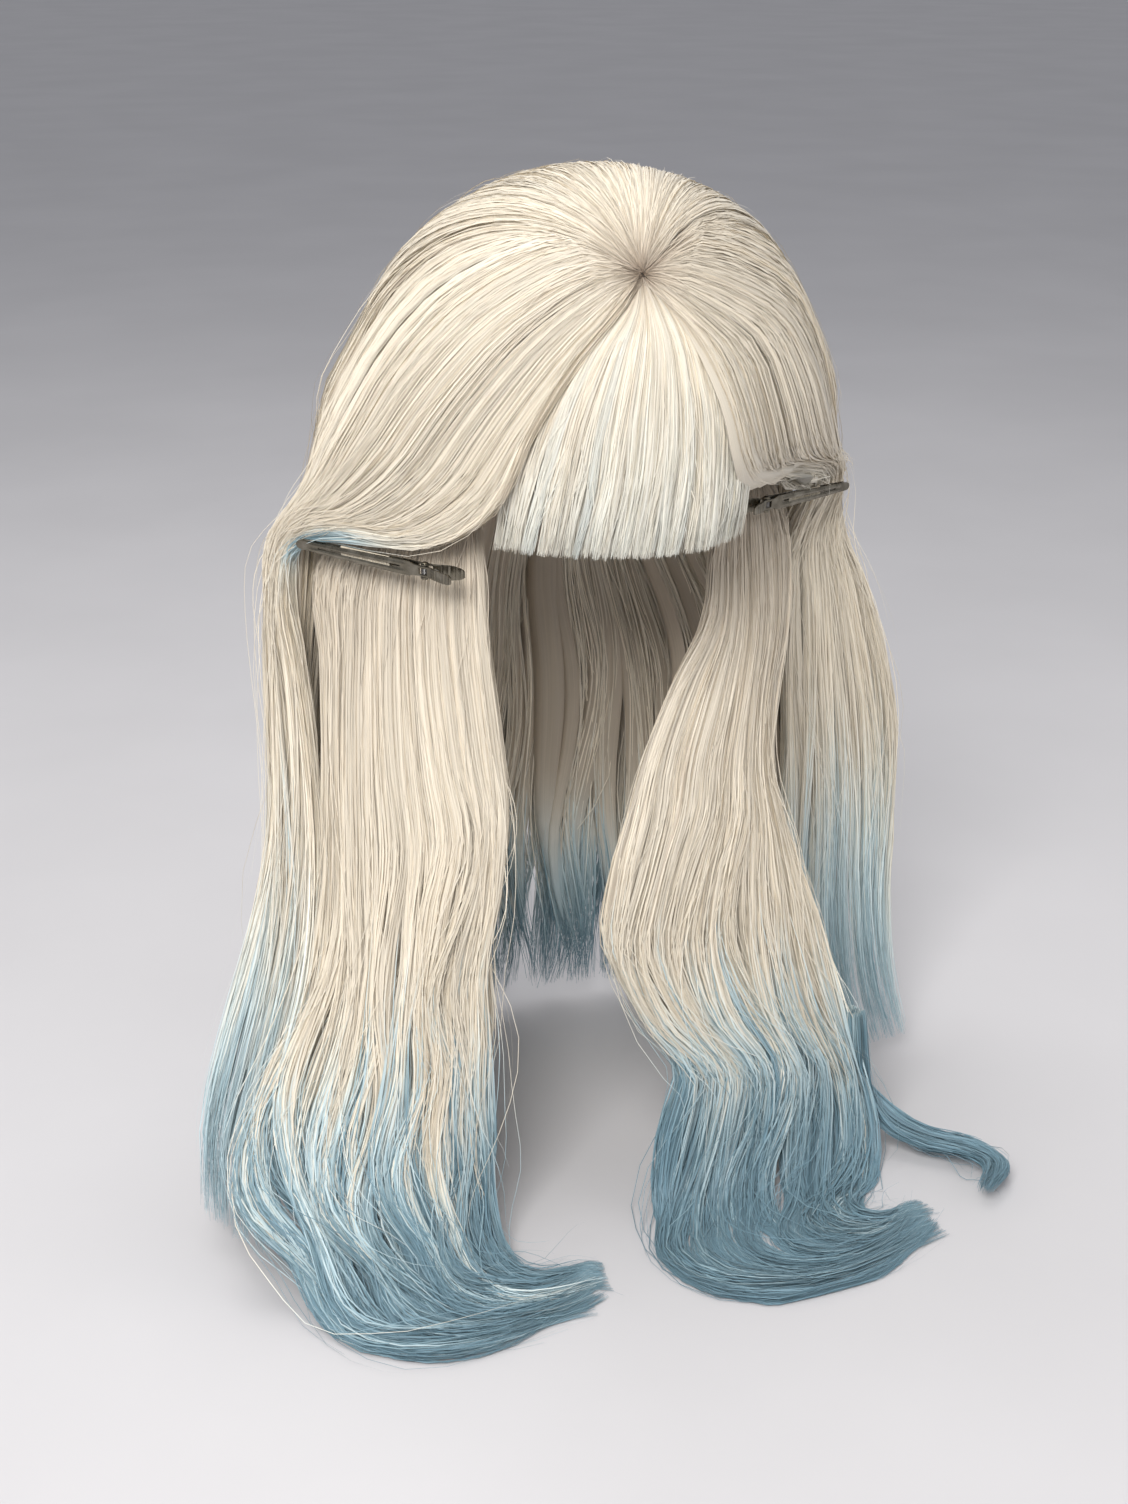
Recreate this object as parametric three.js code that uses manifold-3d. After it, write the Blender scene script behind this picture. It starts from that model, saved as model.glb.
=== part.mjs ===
// Costume wig: a sewn cap with weft rows, long ombre hair in hanging lengths, and two duckbill clips.
// Millimetres. +Z up, the face looks along -Y, the wearer's left is +X.
// The origin is the middle of the head at the level of the cap's widest ring.
import * as THREE from "three";
import Module from "manifold-3d";

// ---- driving dimensions -------------------------------------------------------------------
const HEAD_HALF_WIDTH = 77; // x
const HEAD_HALF_DEPTH = 97; // y
const HEAD_CROWN_RISE = 100; // above the origin
const HEAD_LOWER_DROP = 135; // the lower half of the head's oval
const CAP_IN = 1.6; // cap net, distance out from the head
const CAP_OUT = 2.6;
const BAND_IN = 0.1; // sewn-in edge bands
const BAND_OUT = 1.0;
const WEFT_IN = 2.9; // weft tracks
const WEFT_OUT = 4.4;
const WEFT_WIDTH = 3.2;
const HAIR_LENGTH_SCALE = 1.0; // stretches the hanging lengths below the chin
const HAIR_THICKNESS = 10; // body of hair over the dome
const LENGTH_THICKNESS = 13; // body of hair in the hanging lengths
const FRINGE_THICKNESS = 8;
const CUT_Z = -104; // level where the hanging lengths start to swing
const CLIP_BLADE = 80; // pivot to nose
const CLIP_LEVER = 20; // pivot to lever end
const CLIP_WIDTH = 7.5;
const CLIP_NOSE_WIDTH = 4.6;
const CLIP_SHEET = 0.9;
const CLIP_GAP = 1.9; // between the closed jaws
const PIN_RADIUS = 1.1;
const PIN_CLEARANCE = 0.06;
const SEAM = 0.28; // half degree step between neighbouring cap panels

// ---- small helpers ------------------------------------------------------------------------
const D2R = Math.PI / 180;
const V = (x, y, z) => new THREE.Vector3(x, y, z);
const clamp = (v, a, b) => Math.max(a, Math.min(b, v));
const lerp = (a, b, t) => a + (b - a) * t;

function material(color, roughness, metalness) {
  return new THREE.MeshStandardMaterial({ color, roughness, metalness });
}
const group = new THREE.Group();
group.name = "costume_wig";
const HAIR = 0xe2d5bd;
const ICE = 0xaecbd2;
const BLUE = 0x86a7b4;
const NET = 0xd9c6a4;
const STEEL = 0x8f8a84;

// A closed surface from points and faces; zero-area faces are dropped and the winding is set outwards.
function closedMesh(points, faces) {
  const keep = [];
  for (const f of faces) {
    const [a, b, c] = f.map((i) => points[i]);
    if (a.distanceTo(b) < 1e-6 || b.distanceTo(c) < 1e-6 || a.distanceTo(c) < 1e-6) continue;
    keep.push(f);
  }
  let volume = 0;
  for (const [i, j, k] of keep) volume += points[i].dot(points[j].clone().cross(points[k]));
  const pos = [];
  for (const [i, j, k] of keep)
    for (const n of volume > 0 ? [i, j, k] : [i, k, j]) pos.push(points[n].x, points[n].y, points[n].z);
  const g = new THREE.BufferGeometry();
  g.setAttribute("position", new THREE.Float32BufferAttribute(pos, 3));
  g.computeVertexNormals();
  return g;
}
function add(name, geometry, color, roughness = 0.6, metalness = 0) {
  const m = new THREE.Mesh(geometry, material(color, roughness, metalness));
  m.name = name;
  group.add(m);
  return m;
}
// Box-like slab between an outer and an inner grid of (nu+1) x (nv+1) points.
function slab(outer, inner, nu, nv) {
  const pts = [];
  const id = (side, i, j) => side * (nu + 1) * (nv + 1) + i * (nv + 1) + j;
  for (const f of [outer, inner])
    for (let i = 0; i <= nu; i++) for (let j = 0; j <= nv; j++) pts.push(f(i / nu, j / nv));
  const faces = [];
  const quad = (a, b, c, d) => faces.push([a, b, c], [a, c, d]);
  for (let i = 0; i < nu; i++)
    for (let j = 0; j < nv; j++) {
      quad(id(0, i, j), id(0, i + 1, j), id(0, i + 1, j + 1), id(0, i, j + 1));
      quad(id(1, i, j), id(1, i, j + 1), id(1, i + 1, j + 1), id(1, i + 1, j));
    }
  for (let i = 0; i < nu; i++) {
    quad(id(0, i, 0), id(1, i, 0), id(1, i + 1, 0), id(0, i + 1, 0));
    quad(id(0, i, nv), id(0, i + 1, nv), id(1, i + 1, nv), id(1, i, nv));
  }
  for (let j = 0; j < nv; j++) {
    quad(id(0, 0, j), id(0, 0, j + 1), id(1, 0, j + 1), id(1, 0, j));
    quad(id(0, nu, j), id(1, nu, j), id(1, nu, j + 1), id(0, nu, j + 1));
  }
  return closedMesh(pts, faces);
}
// Closed loft: rings of n points, capped with a fan at each end.
function loft(rings) {
  const n = rings[0].length;
  const pts = rings.flat();
  const faces = [];
  for (let r = 0; r + 1 < rings.length; r++)
    for (let k = 0; k < n; k++) {
      const a = r * n + k;
      const b = r * n + ((k + 1) % n);
      faces.push([a, b, b + n], [a, b + n, a + n]);
    }
  for (const r of [0, rings.length - 1]) {
    const mid = V(0, 0, 0);
    rings[r].forEach((p) => mid.addScaledVector(p, 1 / n));
    pts.push(mid);
    for (let k = 0; k < n; k++) {
      const a = r * n + k;
      const b = r * n + ((k + 1) % n);
      faces.push(r === 0 ? [pts.length - 1, b, a] : [pts.length - 1, a, b]);
    }
  }
  return closedMesh(pts, faces);
}
// Catmull-Rom through a list of points, u from 0 to 1.
function curve(P, u) {
  const n = P.length - 1;
  const s = clamp(u, 0, 1) * n;
  const i = Math.min(Math.floor(s), n - 1);
  const f = s - i;
  const p1 = P[i];
  const p2 = P[i + 1];
  const p0 = i > 0 ? P[i - 1] : p1.clone().multiplyScalar(2).sub(p2);
  const p3 = i + 2 <= n ? P[i + 2] : p2.clone().multiplyScalar(2).sub(p1);
  const c = (a, b, d, e) =>
    0.5 * (2 * b + (d - a) * f + (2 * a - 5 * b + 4 * d - e) * f * f + (3 * b - a - 3 * d + e) * f * f * f);
  return V(c(p0.x, p1.x, p2.x, p3.x), c(p0.y, p1.y, p2.y, p3.y), c(p0.z, p1.z, p2.z, p3.z));
}
// Guides are drawn for a head 154 wide and 194 deep, and follow the head's size.
const FIT_X = HEAD_HALF_WIDTH / 77;
const FIT_Y = HEAD_HALF_DEPTH / 97;
const toPoints = (list) => list.map(([x, y, z]) => V(x * FIT_X, y * FIT_Y, stretch(z)));
function stretch(z) {
  return z > CUT_Z ? z : CUT_Z + (z - CUT_Z) * HAIR_LENGTH_SCALE;
}
// A sheet of hair: guides side by side, a across them and t along them.
const sheetPoint = (guides, a, t) => curve(guides.map((g) => curve(g, t)), a);
function sheetNormal(guides, a, t, outward) {
  const e = 0.004;
  const da = sheetPoint(guides, clamp(a + e, 0, 1), t).sub(sheetPoint(guides, clamp(a - e, 0, 1), t));
  const dt = sheetPoint(guides, a, clamp(t + e, 0, 1)).sub(sheetPoint(guides, a, clamp(t - e, 0, 1)));
  return da.cross(dt).normalize().multiplyScalar(outward);
}
// A slab of the sheet, from its outer face inwards by thick(t).
function sheetSlab(guides, [a0, a1, na], [t0, t1, nt], thick, outward) {
  const at = (i, j) => [lerp(a0, a1, i), lerp(t0, t1, j)];
  return slab(
    (i, j) => sheetPoint(guides, ...at(i, j)),
    (i, j) => {
      const [a, t] = at(i, j);
      return sheetPoint(guides, a, t).addScaledVector(sheetNormal(guides, a, t, outward), -thick(t));
    },
    na,
    nt,
  );
}
// A rounded lock of hair along a line, w wide and h deep, narrowing at both ends. With no side
// given it lies flat, its width level.
function lock(line, rings, w, h, side, sides = 10) {
  const out = [];
  for (let r = 0; r <= rings; r++) {
    const u = r / rings;
    const p = curve(line, u);
    const d = curve(line, clamp(u + 0.01, 0, 1)).sub(curve(line, clamp(u - 0.01, 0, 1))).normalize();
    const flat = V(-d.y, d.x, 0);
    const across = side ? side.clone().addScaledVector(d, -side.dot(d)).normalize() : flat.normalize();
    const deep = d.clone().cross(across);
    const k = 0.35 + 0.65 * Math.sqrt(Math.sin(Math.PI * clamp(0.06 + 0.88 * u, 0, 1)));
    const ring = [];
    for (let q = 0; q < sides; q++) {
      const g = (q / sides) * 2 * Math.PI;
      ring.push(p.clone().addScaledVector(across, 0.5 * w * k * Math.cos(g)).addScaledVector(deep, 0.5 * h * k * Math.sin(g)));
    }
    out.push(ring);
  }
  return loft(out);
}

// ---- the head's oval, which the cap follows ---------------------------------------------------
// polar: degrees down from the crown; turn: degrees round from the face, the wearer's left positive.
function onHead(turn, polar, out) {
  const f = turn * D2R;
  const q = polar * D2R;
  const c = polar <= 90 ? HEAD_CROWN_RISE : HEAD_LOWER_DROP;
  const n = V(
    (Math.sin(q) * Math.sin(f)) / HEAD_HALF_WIDTH,
    (-Math.sin(q) * Math.cos(f)) / HEAD_HALF_DEPTH,
    Math.cos(q) / c,
  ).normalize();
  return V(
    HEAD_HALF_WIDTH * Math.sin(q) * Math.sin(f),
    -HEAD_HALF_DEPTH * Math.sin(q) * Math.cos(f),
    c * Math.cos(q),
  ).addScaledVector(n, out);
}
const polarAt = (z) => Math.acos(z / (z >= 0 ? HEAD_CROWN_RISE : HEAD_LOWER_DROP)) / D2R;
// The cap's lower edge by turn: hairline, temple, ear, nape.
const EDGE = [
  [0, 40], [30, 36], [50, 20], [66, 0], [80, -8], [95, -6], [110, -14], [130, -40], [155, -60], [180, -64],
];
function edgeZ(turn) {
  let t = Math.abs(turn);
  if (t > 180) t = 360 - t;
  for (let i = 0; i + 1 < EDGE.length; i++)
    if (t <= EDGE[i + 1][0]) {
      const f = (t - EDGE[i][0]) / (EDGE[i + 1][0] - EDGE[i][0]);
      return lerp(EDGE[i][1], EDGE[i + 1][1], f * f * (3 - 2 * f));
    }
  return EDGE[EDGE.length - 1][1];
}
function headSlab([t0, t1, nt], from, to, np, inner, outer) {
  const at = (i, j) => {
    const turn = lerp(t0, t1, i);
    return [turn, lerp(from(turn), to(turn), j)];
  };
  return slab((i, j) => onHead(...at(i, j), outer), (i, j) => onHead(...at(i, j), inner), nt, np);
}
const CROWN_POLAR = 34;
const always = (v) => () => v;
const edgePolar = (turn) => polarAt(edgeZ(turn));

// Crown net: a domed disc.
function domeDisc(polar, inner, outer, rings, sides) {
  const pts = [onHead(0, 0, outer), onHead(0, 0, inner)];
  for (const o of [outer, inner])
    for (let r = 1; r <= rings; r++)
      for (let k = 0; k < sides; k++) pts.push(onHead((k / sides) * 360, (polar * r) / rings, o));
  const id = (s, r, k) => 2 + (s * rings + r - 1) * sides + (k % sides);
  const faces = [];
  const face = (s, a, b, c) => faces.push(s ? [a, c, b] : [a, b, c]);
  for (const s of [0, 1])
    for (let k = 0; k < sides; k++) {
      face(s, s, id(s, 1, k), id(s, 1, k + 1));
      for (let r = 1; r < rings; r++) {
        face(s, id(s, r, k), id(s, r + 1, k), id(s, r + 1, k + 1));
        face(s, id(s, r, k), id(s, r + 1, k + 1), id(s, r, k + 1));
      }
    }
  for (let k = 0; k < sides; k++) {
    faces.push([id(0, rings, k + 1), id(0, rings, k), id(1, rings, k)]);
    faces.push([id(0, rings, k + 1), id(1, rings, k), id(1, rings, k + 1)]);
  }
  return closedMesh(pts, faces);
}
add("cap_crown_net", domeDisc(CROWN_POLAR - SEAM, CAP_IN, CAP_OUT, 3, 30), NET, 0.8);
const panel = (t0, t1, nt, np) =>
  headSlab([t0, t1, nt], always(CROWN_POLAR + SEAM), edgePolar, np, CAP_IN, CAP_OUT);
add("cap_front_net", panel(-54 + SEAM, 54 - SEAM, 16, 5), NET, 0.8);
add("cap_side_net_L", panel(54 + SEAM, 112 - SEAM, 8, 7), NET, 0.8);
add("cap_side_net_R", panel(-112 + SEAM, -54 - SEAM, 8, 7), NET, 0.8);
add("cap_back_net", panel(112 + SEAM, 248 - SEAM, 20, 10), NET, 0.8);

// Sewn-in bands under the edge.
const bandFrom = (turn) => edgePolar(turn) - 6;
const bandTo = (turn) => edgePolar(turn) - 0.4;
add("front_edge_band", headSlab([-53, 53, 16], bandFrom, bandTo, 1, BAND_IN, BAND_OUT), 0xcbb48c, 0.85);
add("nape_band", headSlab([112.28, 247.72, 20], bandFrom, bandTo, 1, BAND_IN, BAND_OUT), 0xcbb48c, 0.85);

// Ear tabs with a thin metal stay in each.
for (const [s, tag] of [[1, "L"], [-1, "R"]]) {
  const half = (j) => lerp(11, 6, j);
  const tab = (inner, outer, k, z0, z1) =>
    slab(
      (i, j) => onHead(s * (80 + k * lerp(-1, 1, i) * half(j)), polarAt(lerp(z0, z1, j)), outer),
      (i, j) => onHead(s * (80 + k * lerp(-1, 1, i) * half(j)), polarAt(lerp(z0, z1, j)), inner),
      4,
      4,
    );
  add("ear_tab_" + tag, tab(CAP_IN, CAP_OUT, 1, -9.6, -36), 0xcbb48c, 0.85);
  add("ear_tab_stay_" + tag, tab(2.9, 3.5, 0.13, -11, -33), STEEL, 0.35, 0.9);
}

// Parting skin patch under the whorl.
const WHORL_TURN = -5;
const WHORL_POLAR = 50;
add(
  "parting_skin_patch",
  headSlab([WHORL_TURN - 16, WHORL_TURN + 16, 6], always(WHORL_POLAR - 12), always(WHORL_POLAR + 10), 4, 2.9, 3.4),
  0xe8d2b0,
  0.7,
);

// Weft tracks, round the sides and back; the lowest two stay between the ears.
const WEFT_ROWS = [
  [60, 66, 294], [36, 64, 296], [12, 66, 294], [-12, 112, 248], [-34, 128, 232],
];
WEFT_ROWS.forEach(([z, t0, t1], i) => {
  const half = WEFT_WIDTH / 2;
  add(
    "weft_row_" + (i + 1),
    headSlab([t0, t1, Math.round((t1 - t0) / 7)], always(polarAt(z + half)), always(polarAt(z - half)), 1, WEFT_IN, WEFT_OUT),
    0xd6c39c,
    0.8,
  );
});

// Adjuster straps, their hooks and the loops the hooks catch, outside the nape.
for (const [s, tag] of [[1, "L"], [-1, "R"]]) {
  const strip = (t0, t1, n, z, wide, inner, outer) =>
    headSlab([s * t0, s * t1, n], always(polarAt(z + wide / 2)), always(polarAt(z - wide / 2)), 1, inner, outer);
  add("adjuster_strap_" + tag, strip(137, 156, 6, -52, 6, 2.9, 3.7), 0xb9a27a, 0.7);
  add("adjuster_loops_" + tag, strip(161, 176, 5, -52, 7, 2.9, 3.4), 0xcbb48c, 0.8);
  // hook: a small plate with a curled end, lying on the strap's end
  const c = onHead(s * 158.4, polarAt(-52), 4.6);
  const along = onHead(s * 159.4, polarAt(-52), 4.6).sub(onHead(s * 157.4, polarAt(-52), 4.6)).normalize();
  const up = V(0, 0, 1).addScaledVector(along, -along.z).normalize();
  const outw = along.clone().cross(up).multiplyScalar(s).normalize();
  const pairs = [[-3.5, 0, -3.5, 0.8], [0, 0, 0, 0.9], [2.4, 0, 2.0, 1.0], [3.3, 0.5, 2.5, 1.2], [3.3, 1.4, 2.4, 1.5], [2.7, 2.1, 2.1, 1.7]];
  const at = (u, n, k) => c.clone().addScaledVector(along, u).addScaledVector(outw, n - 0.2).addScaledVector(up, k * 2.6);
  const rings = pairs.map(([u0, n0, u1, n1]) => [at(u0, n0, -1), at(u0, n0, 1), at(u1, n1, 1), at(u1, n1, -1)]);
  add("adjuster_hook_" + tag, loft(rings), 0xd8d2c4, 0.4);
}

// ---- hair ------------------------------------------------------------------------------------
// The dome's outer face: a rounded crown that flares out at the sides and back.
const DOME_RISE = HEAD_CROWN_RISE + 18;
const flare = (z) => (z < 50 ? 35 * (1 - Math.exp(-(((50 - z) / 60) ** 2))) : 0);
function dome(d) {
  const f = Math.atan2(d.x, -d.y);
  const q = Math.acos(clamp(d.z, -1, 1));
  const z = DOME_RISE * Math.cos(q);
  const rx = 130 * Math.sin(q) + flare(z);
  const ry = Math.cos(f) > 0 ? 112 * Math.sin(q) : 116 * Math.sin(q) + 0.5 * flare(z);
  return V(FIT_X * rx * Math.sin(f), -FIT_Y * ry * Math.cos(f), z);
}
const WHORL = V(-0.08, -0.766, 0.643).normalize();
const CENTRE = dome(WHORL);
// Points from the whorl up over the dome and down to its rim.
const slerp = (a, b, t) => {
  const om = Math.acos(clamp(a.dot(b), -1, 1));
  if (om < 1e-6) return a.clone();
  const k = Math.sin(om);
  return a.clone().multiplyScalar(Math.sin((1 - t) * om) / k).addScaledVector(b, Math.sin(t * om) / k);
};
function flow(turn, n = 8) {
  const e = V(Math.sin(turn * D2R), -Math.cos(turn * D2R), 0);
  const m = e.clone().multiplyScalar(0.55).add(V(0, 0, 0.85)).normalize();
  return Array.from({ length: n }, (_, i) => {
    const t = i / (n - 1);
    return dome(slerp(slerp(WHORL, m, t), slerp(m, e, t), t));
  });
}
const fromWhorl = (list) => [CENTRE.clone(), ...toPoints(list)];

// Fringe: straight guides from the whorl to the brow, wearer's right to left.
const FRINGE = [
  [[-26, -91, 62], [-46, -90, 44], [-64, -81, 14], [-75, -72, -18], [-78, -66, -40], [-80, -60, -62]],
  [[-18, -94, 60], [-31, -101, 42], [-42, -103, 12], [-47, -100, -18], [-50, -95, -40], [-52, -88, -62]],
  [[-7, -95, 59], [-6, -105, 40], [-8, -111, 10], [-10, -112, -18], [-12, -109, -40], [-14, -105, -62]],
  [[5, -95, 60], [14, -102, 42], [21, -108, 12], [23, -108, -18], [23, -106, -40], [22, -102, -62]],
  [[11, -93, 62], [30, -96, 44], [44, -96, 14], [50, -92, -18], [51, -88, -40], [50, -84, -62]],
].map(fromWhorl);
// Swept-back side sections, front edge first.
const WING_R = [
  [[-28, -90, 62], [-52, -85, 36], [-75, -75, 2], [-94, -62, -32], [-120, -38, -55], [-146, -4, -58], [-163, 24, -72]],
  [[-36, -82, 76], [-73, -69, 52], [-101, -55, 18], [-123, -36, -20], [-142, -12, -44], [-157, 10, -56], [-166, 28, -74]],
  [[-42, -68, 90], [-86, -46, 68], [-117, -28, 34], [-138, -12, -6], [-151, 4, -36], [-162, 20, -56], [-169, 32, -76]],
].map(fromWhorl);
const rearGuide = (turn, list) => [...flow(turn, 5), ...toPoints(list)];
WING_R.push(rearGuide(-92, [[-155, 18, -34], [-165, 28, -58], [-172, 37, -78]]));
const mirrored = (list) => list.map((g) => g.map(([x, y, z]) => [-x, y, z]));
const WING_L = mirrored([
  [[-12, -95, 64], [-46, -91, 38], [-64, -84, 2], [-80, -74, -30], [-110, -50, -54], [-143, -6, -58], [-164, 24, -72]],
  [[-20, -84, 76], [-72, -69, 52], [-101, -55, 18], [-123, -36, -20], [-142, -12, -44], [-158, 10, -56], [-168, 28, -74]],
  [[-32, -68, 90], [-86, -46, 68], [-117, -28, 34], [-138, -12, -6], [-151, 4, -36], [-163, 20, -56], [-171, 32, -76]],
]).map(fromWhorl);
WING_L.push(rearGuide(92, [[155, 18, -34], [166, 28, -58], [174, 37, -78]]));
// Front lengths, inner edge first. They start under the swept sections at the temple.
const FRONT_R = [
  [
    [-79, -34, -34], [-80, -46, -74], [-83, -58, -112], [-81, -70, -160], [-80, -80, -195], [-88, -88, -235], [-95, -92, -276],
    [-91, -98, -320], [-98, -107, -363], [-106, -116, -400], [-100, -128, -425], [-86, -142, -434], [-70, -150, -434.5], [-54, -154, -434.5],
  ],
  [
    [-84, -20, -30], [-103, -30, -74], [-109, -42, -122], [-110, -58, -175], [-107, -72, -215], [-120, -82, -250], [-134, -93, -292],
    [-131, -103, -335], [-141, -114, -376], [-143, -128, -406], [-134, -144, -427], [-112, -158, -434], [-84, -166, -434.5], [-58, -166, -434.5],
  ],
  [
    [-86, -4, -26], [-126, -6, -76], [-137, -18, -127], [-145, -34, -182], [-149, -50, -228], [-157, -66, -270], [-170, -80, -312],
    [-181, -95, -350], [-189, -112, -384], [-184, -132, -408], [-170, -154, -428], [-142, -170, -434], [-104, -178, -434.5], [-66, -176, -434.5],
  ],
  [
    [-84, 12, -22], [-146, 22, -80], [-152, 12, -132], [-158, -4, -188], [-166, -22, -240], [-182, -40, -281], [-204, -54, -318],
    [-222, -72, -352], [-231, -96, -384], [-222, -124, -408], [-206, -152, -428], [-172, -178, -434], [-126, -191, -434.5], [-78, -186, -434.5],
  ],
].map(toPoints);
const FRONT_L = [
  [
    [79, -32, -34], [62, -29, -78], [54, -38, -122], [31, -46, -155], [10, -60, -189], [-3, -75, -216], [-18, -88, -245],
    [-28, -95, -284], [-8, -100, -322], [22, -104, -362], [6, -112, -402], [-14, -126, -428], [-22, -156, -434],
    [-4, -190, -434.5], [40, -210, -434.5], [92, -208, -434.5], [134, -193, -434.5],
  ],
  [
    [84, -18, -30], [82, -19, -80], [78, -32, -128], [66, -46, -160], [52, -60, -194], [44, -74, -222], [28, -86, -250],
    [16, -94, -288], [28, -101, -328], [58, -106, -366], [50, -114, -404], [28, -128, -428], [16, -152, -434],
    [26, -178, -434.5], [58, -195, -434.5], [98, -194, -434.5], [134, -182, -434.5],
  ],
  [
    [86, -4, -26], [104, -3, -80], [100, -21, -132], [86, -40, -170], [78, -56, -204], [76, -72, -234], [72, -84, -264],
    [72, -92, -300], [84, -98, -338], [104, -102, -374], [102, -110, -406], [84, -128, -428], [70, -148, -434],
    [68, -168, -434.5], [84, -180, -434.5], [110, -180, -434.5], [136, -172, -434.5],
  ],
  [
    [84, 10, -22], [126, 17, -80], [121, -5, -134], [102, -30, -176], [90, -52, -210], [94, -70, -246], [102, -82, -282],
    [112, -88, -318], [126, -92, -354], [136, -98, -388], [134, -108, -410], [122, -126, -429], [110, -142, -434],
    [106, -156, -434.5], [112, -166, -434.5], [124, -168, -434.5], [138, -162, -434.5],
  ],
].map(toPoints);
// Back: guides by turn, rim to table, with waves that grow downwards.
const BACK_TURNS = [96, 116, 138, 160, 180, 200, 222, 244, 264];
const BACK_LEVELS = [-50, -104, -160, -215, -270, -325, -375, -425];
const BACK = BACK_TURNS.map((turn) => {
  const low = BACK_LEVELS.map((z, i) => {
    const wave = 1 + 0.034 * (i / 7) * Math.sin(i * 1.9 + turn * 0.05);
    const rx = (161 + i * 7.4) * wave;
    const ry = (128 + i * 3.4) * wave;
    const low_turn = (180 + (turn - 180) * 0.83) * D2R;
    return V(FIT_X * rx * Math.sin(low_turn), -FIT_Y * ry * Math.cos(low_turn), stretch(z));
  });
  return [...flow(turn), ...low];
});

const same = (v) => () => v;
const FR = [
  ["fringe_right", 0.02, 0.29], ["fringe_centre", 0.31, 0.69], ["fringe_left", 0.71, 0.98],
];
for (const [name, a0, a1] of FR)
  add(name, sheetSlab(FRINGE, [a0, a1, 6], [0.09, 1, 10], same(FRINGE_THICKNESS), -1), HAIR);
const wingThick = (t) => lerp(HAIR_THICKNESS, 7, clamp(t, 0, 1));
add("wing_R", sheetSlab(WING_R, [0.04, 0.97, 8], [0.12, 0.93, 12], wingThick, 1), HAIR);
add("wing_L", sheetSlab(WING_L, [0.04, 0.97, 8], [0.12, 0.93, 12], wingThick, -1), HAIR);

// Crown hair over the dome to just above the swing line, then the hanging back lengths.
const nBack = BACK[0].length - 1;
const T_CUT = 9 / nBack;
const BACK_SPLIT = [["left", 0.012, 0.31, 6], ["middle", 0.316, 0.684, 8], ["right", 0.69, 0.988, 6]];
for (const [name, a0, a1, na] of BACK_SPLIT) {
  const gap = name === "middle" ? 0.035 : 0.012;
  add("crown_hair_" + name, sheetSlab(BACK, [a0, a1, na], [0.05, T_CUT - gap, 10], same(HAIR_THICKNESS), -1), HAIR);
  add("back_length_" + name, sheetSlab(BACK, [a0, a1, na], [T_CUT + 0.006, 0.9, 8], same(LENGTH_THICKNESS), -1), HAIR);
}
const backTip = (t) => lerp(LENGTH_THICKNESS, 8, clamp((t - 0.9) / 0.1, 0, 1));
add("back_tips", sheetSlab(BACK, [0.012, 0.988, 18], [0.903, 1, 3], backTip, -1), BLUE);
// Temple hair above the swing line and front lengths below it.
const rootThick = (t) => lerp(4.5, LENGTH_THICKNESS, clamp(t * 5, 0, 1));
const fR = (zi) => zi / (FRONT_R[0].length - 1);
const fL = (zi) => zi / (FRONT_L[0].length - 1);
add("temple_hair_R", sheetSlab(FRONT_R, [0.0, 1, 7], [0.0, fR(1.72), 5], rootThick, 1), HAIR);
add("temple_hair_L", sheetSlab(FRONT_L, [0.0, 1, 7], [0.0, fL(1.62), 5], rootThick, -1), HAIR);
for (const [name, a0, a1] of [["inner", 0, 0.325], ["middle", 0.34, 0.66], ["outer", 0.675, 1]]) {
  add("front_length_R_" + name, sheetSlab(FRONT_R, [a0, a1, 3], [fR(1.76), fR(8), 12], same(LENGTH_THICKNESS), 1), HAIR);
  add("front_length_L_" + name, sheetSlab(FRONT_L, [a0, a1, 3], [fL(1.66), fL(8.6), 13], same(LENGTH_THICKNESS), -1), HAIR);
}
const LYING = 5; // body of the tips that lie on the table
const tipThickR = (t) => lerp(LENGTH_THICKNESS, LYING, clamp((t - fR(8)) / fR(2.6), 0, 1));
const tipThickL = (t) => lerp(LENGTH_THICKNESS, LYING, clamp((t - fL(8.6)) / fL(2.9), 0, 1));
add("front_tips_R", sheetSlab(FRONT_R, [0, 1, 7], [fR(8.04), fR(10.6), 5], tipThickR, 1), BLUE);
add("tip_curl_R", sheetSlab(FRONT_R, [0, 1, 5], [fR(10.66), 1, 8], same(LYING), 1), BLUE);
add("front_tips_L", sheetSlab(FRONT_L, [0, 1, 7], [fL(8.65), fL(11.5), 5], tipThickL, -1), BLUE);
add("tip_curl_L_front", sheetSlab(FRONT_L, [0, 1, 5], [fL(11.56), 1, 10], same(LYING), -1), BLUE);

// Side tails: the swept sections' own ends, hanging outside the front lengths.
const TAIL_R = toPoints([
  [-169, 34, -88], [-171, 26, -140], [-176, 14, -192], [-184, -2, -244], [-198, -22, -290],
  [-217, -41, -336], [-232, -56, -380], [-238, -74, -420],
]);
const TAIL_L = toPoints([
  [171, 30, -88], [173, 24, -140], [179, 24, -192], [185, 26, -244], [187, 26, -290],
  [183, 18, -336], [182, 2, -382], [186, -20, -422],
]);
add("side_tail_R", lock(TAIL_R, 12, 26, 12, V(-0.35, 0.94, 0), 8), HAIR);
add("side_tail_L", lock(TAIL_L, 12, 60, 13, V(1, 0.1, 0), 10), HAIR);
// A loose curl beside the left front length.
const CURL_L = toPoints([
  [140, -84, -410], [150, -100, -428], [164, -118, -433.5], [181, -136, -433.5], [186, -158, -433.5], [166, -177, -433.5],
]);
add("tip_curl_L_side", lock(CURL_L, 12, 14, 10, null, 8), BLUE);

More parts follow.
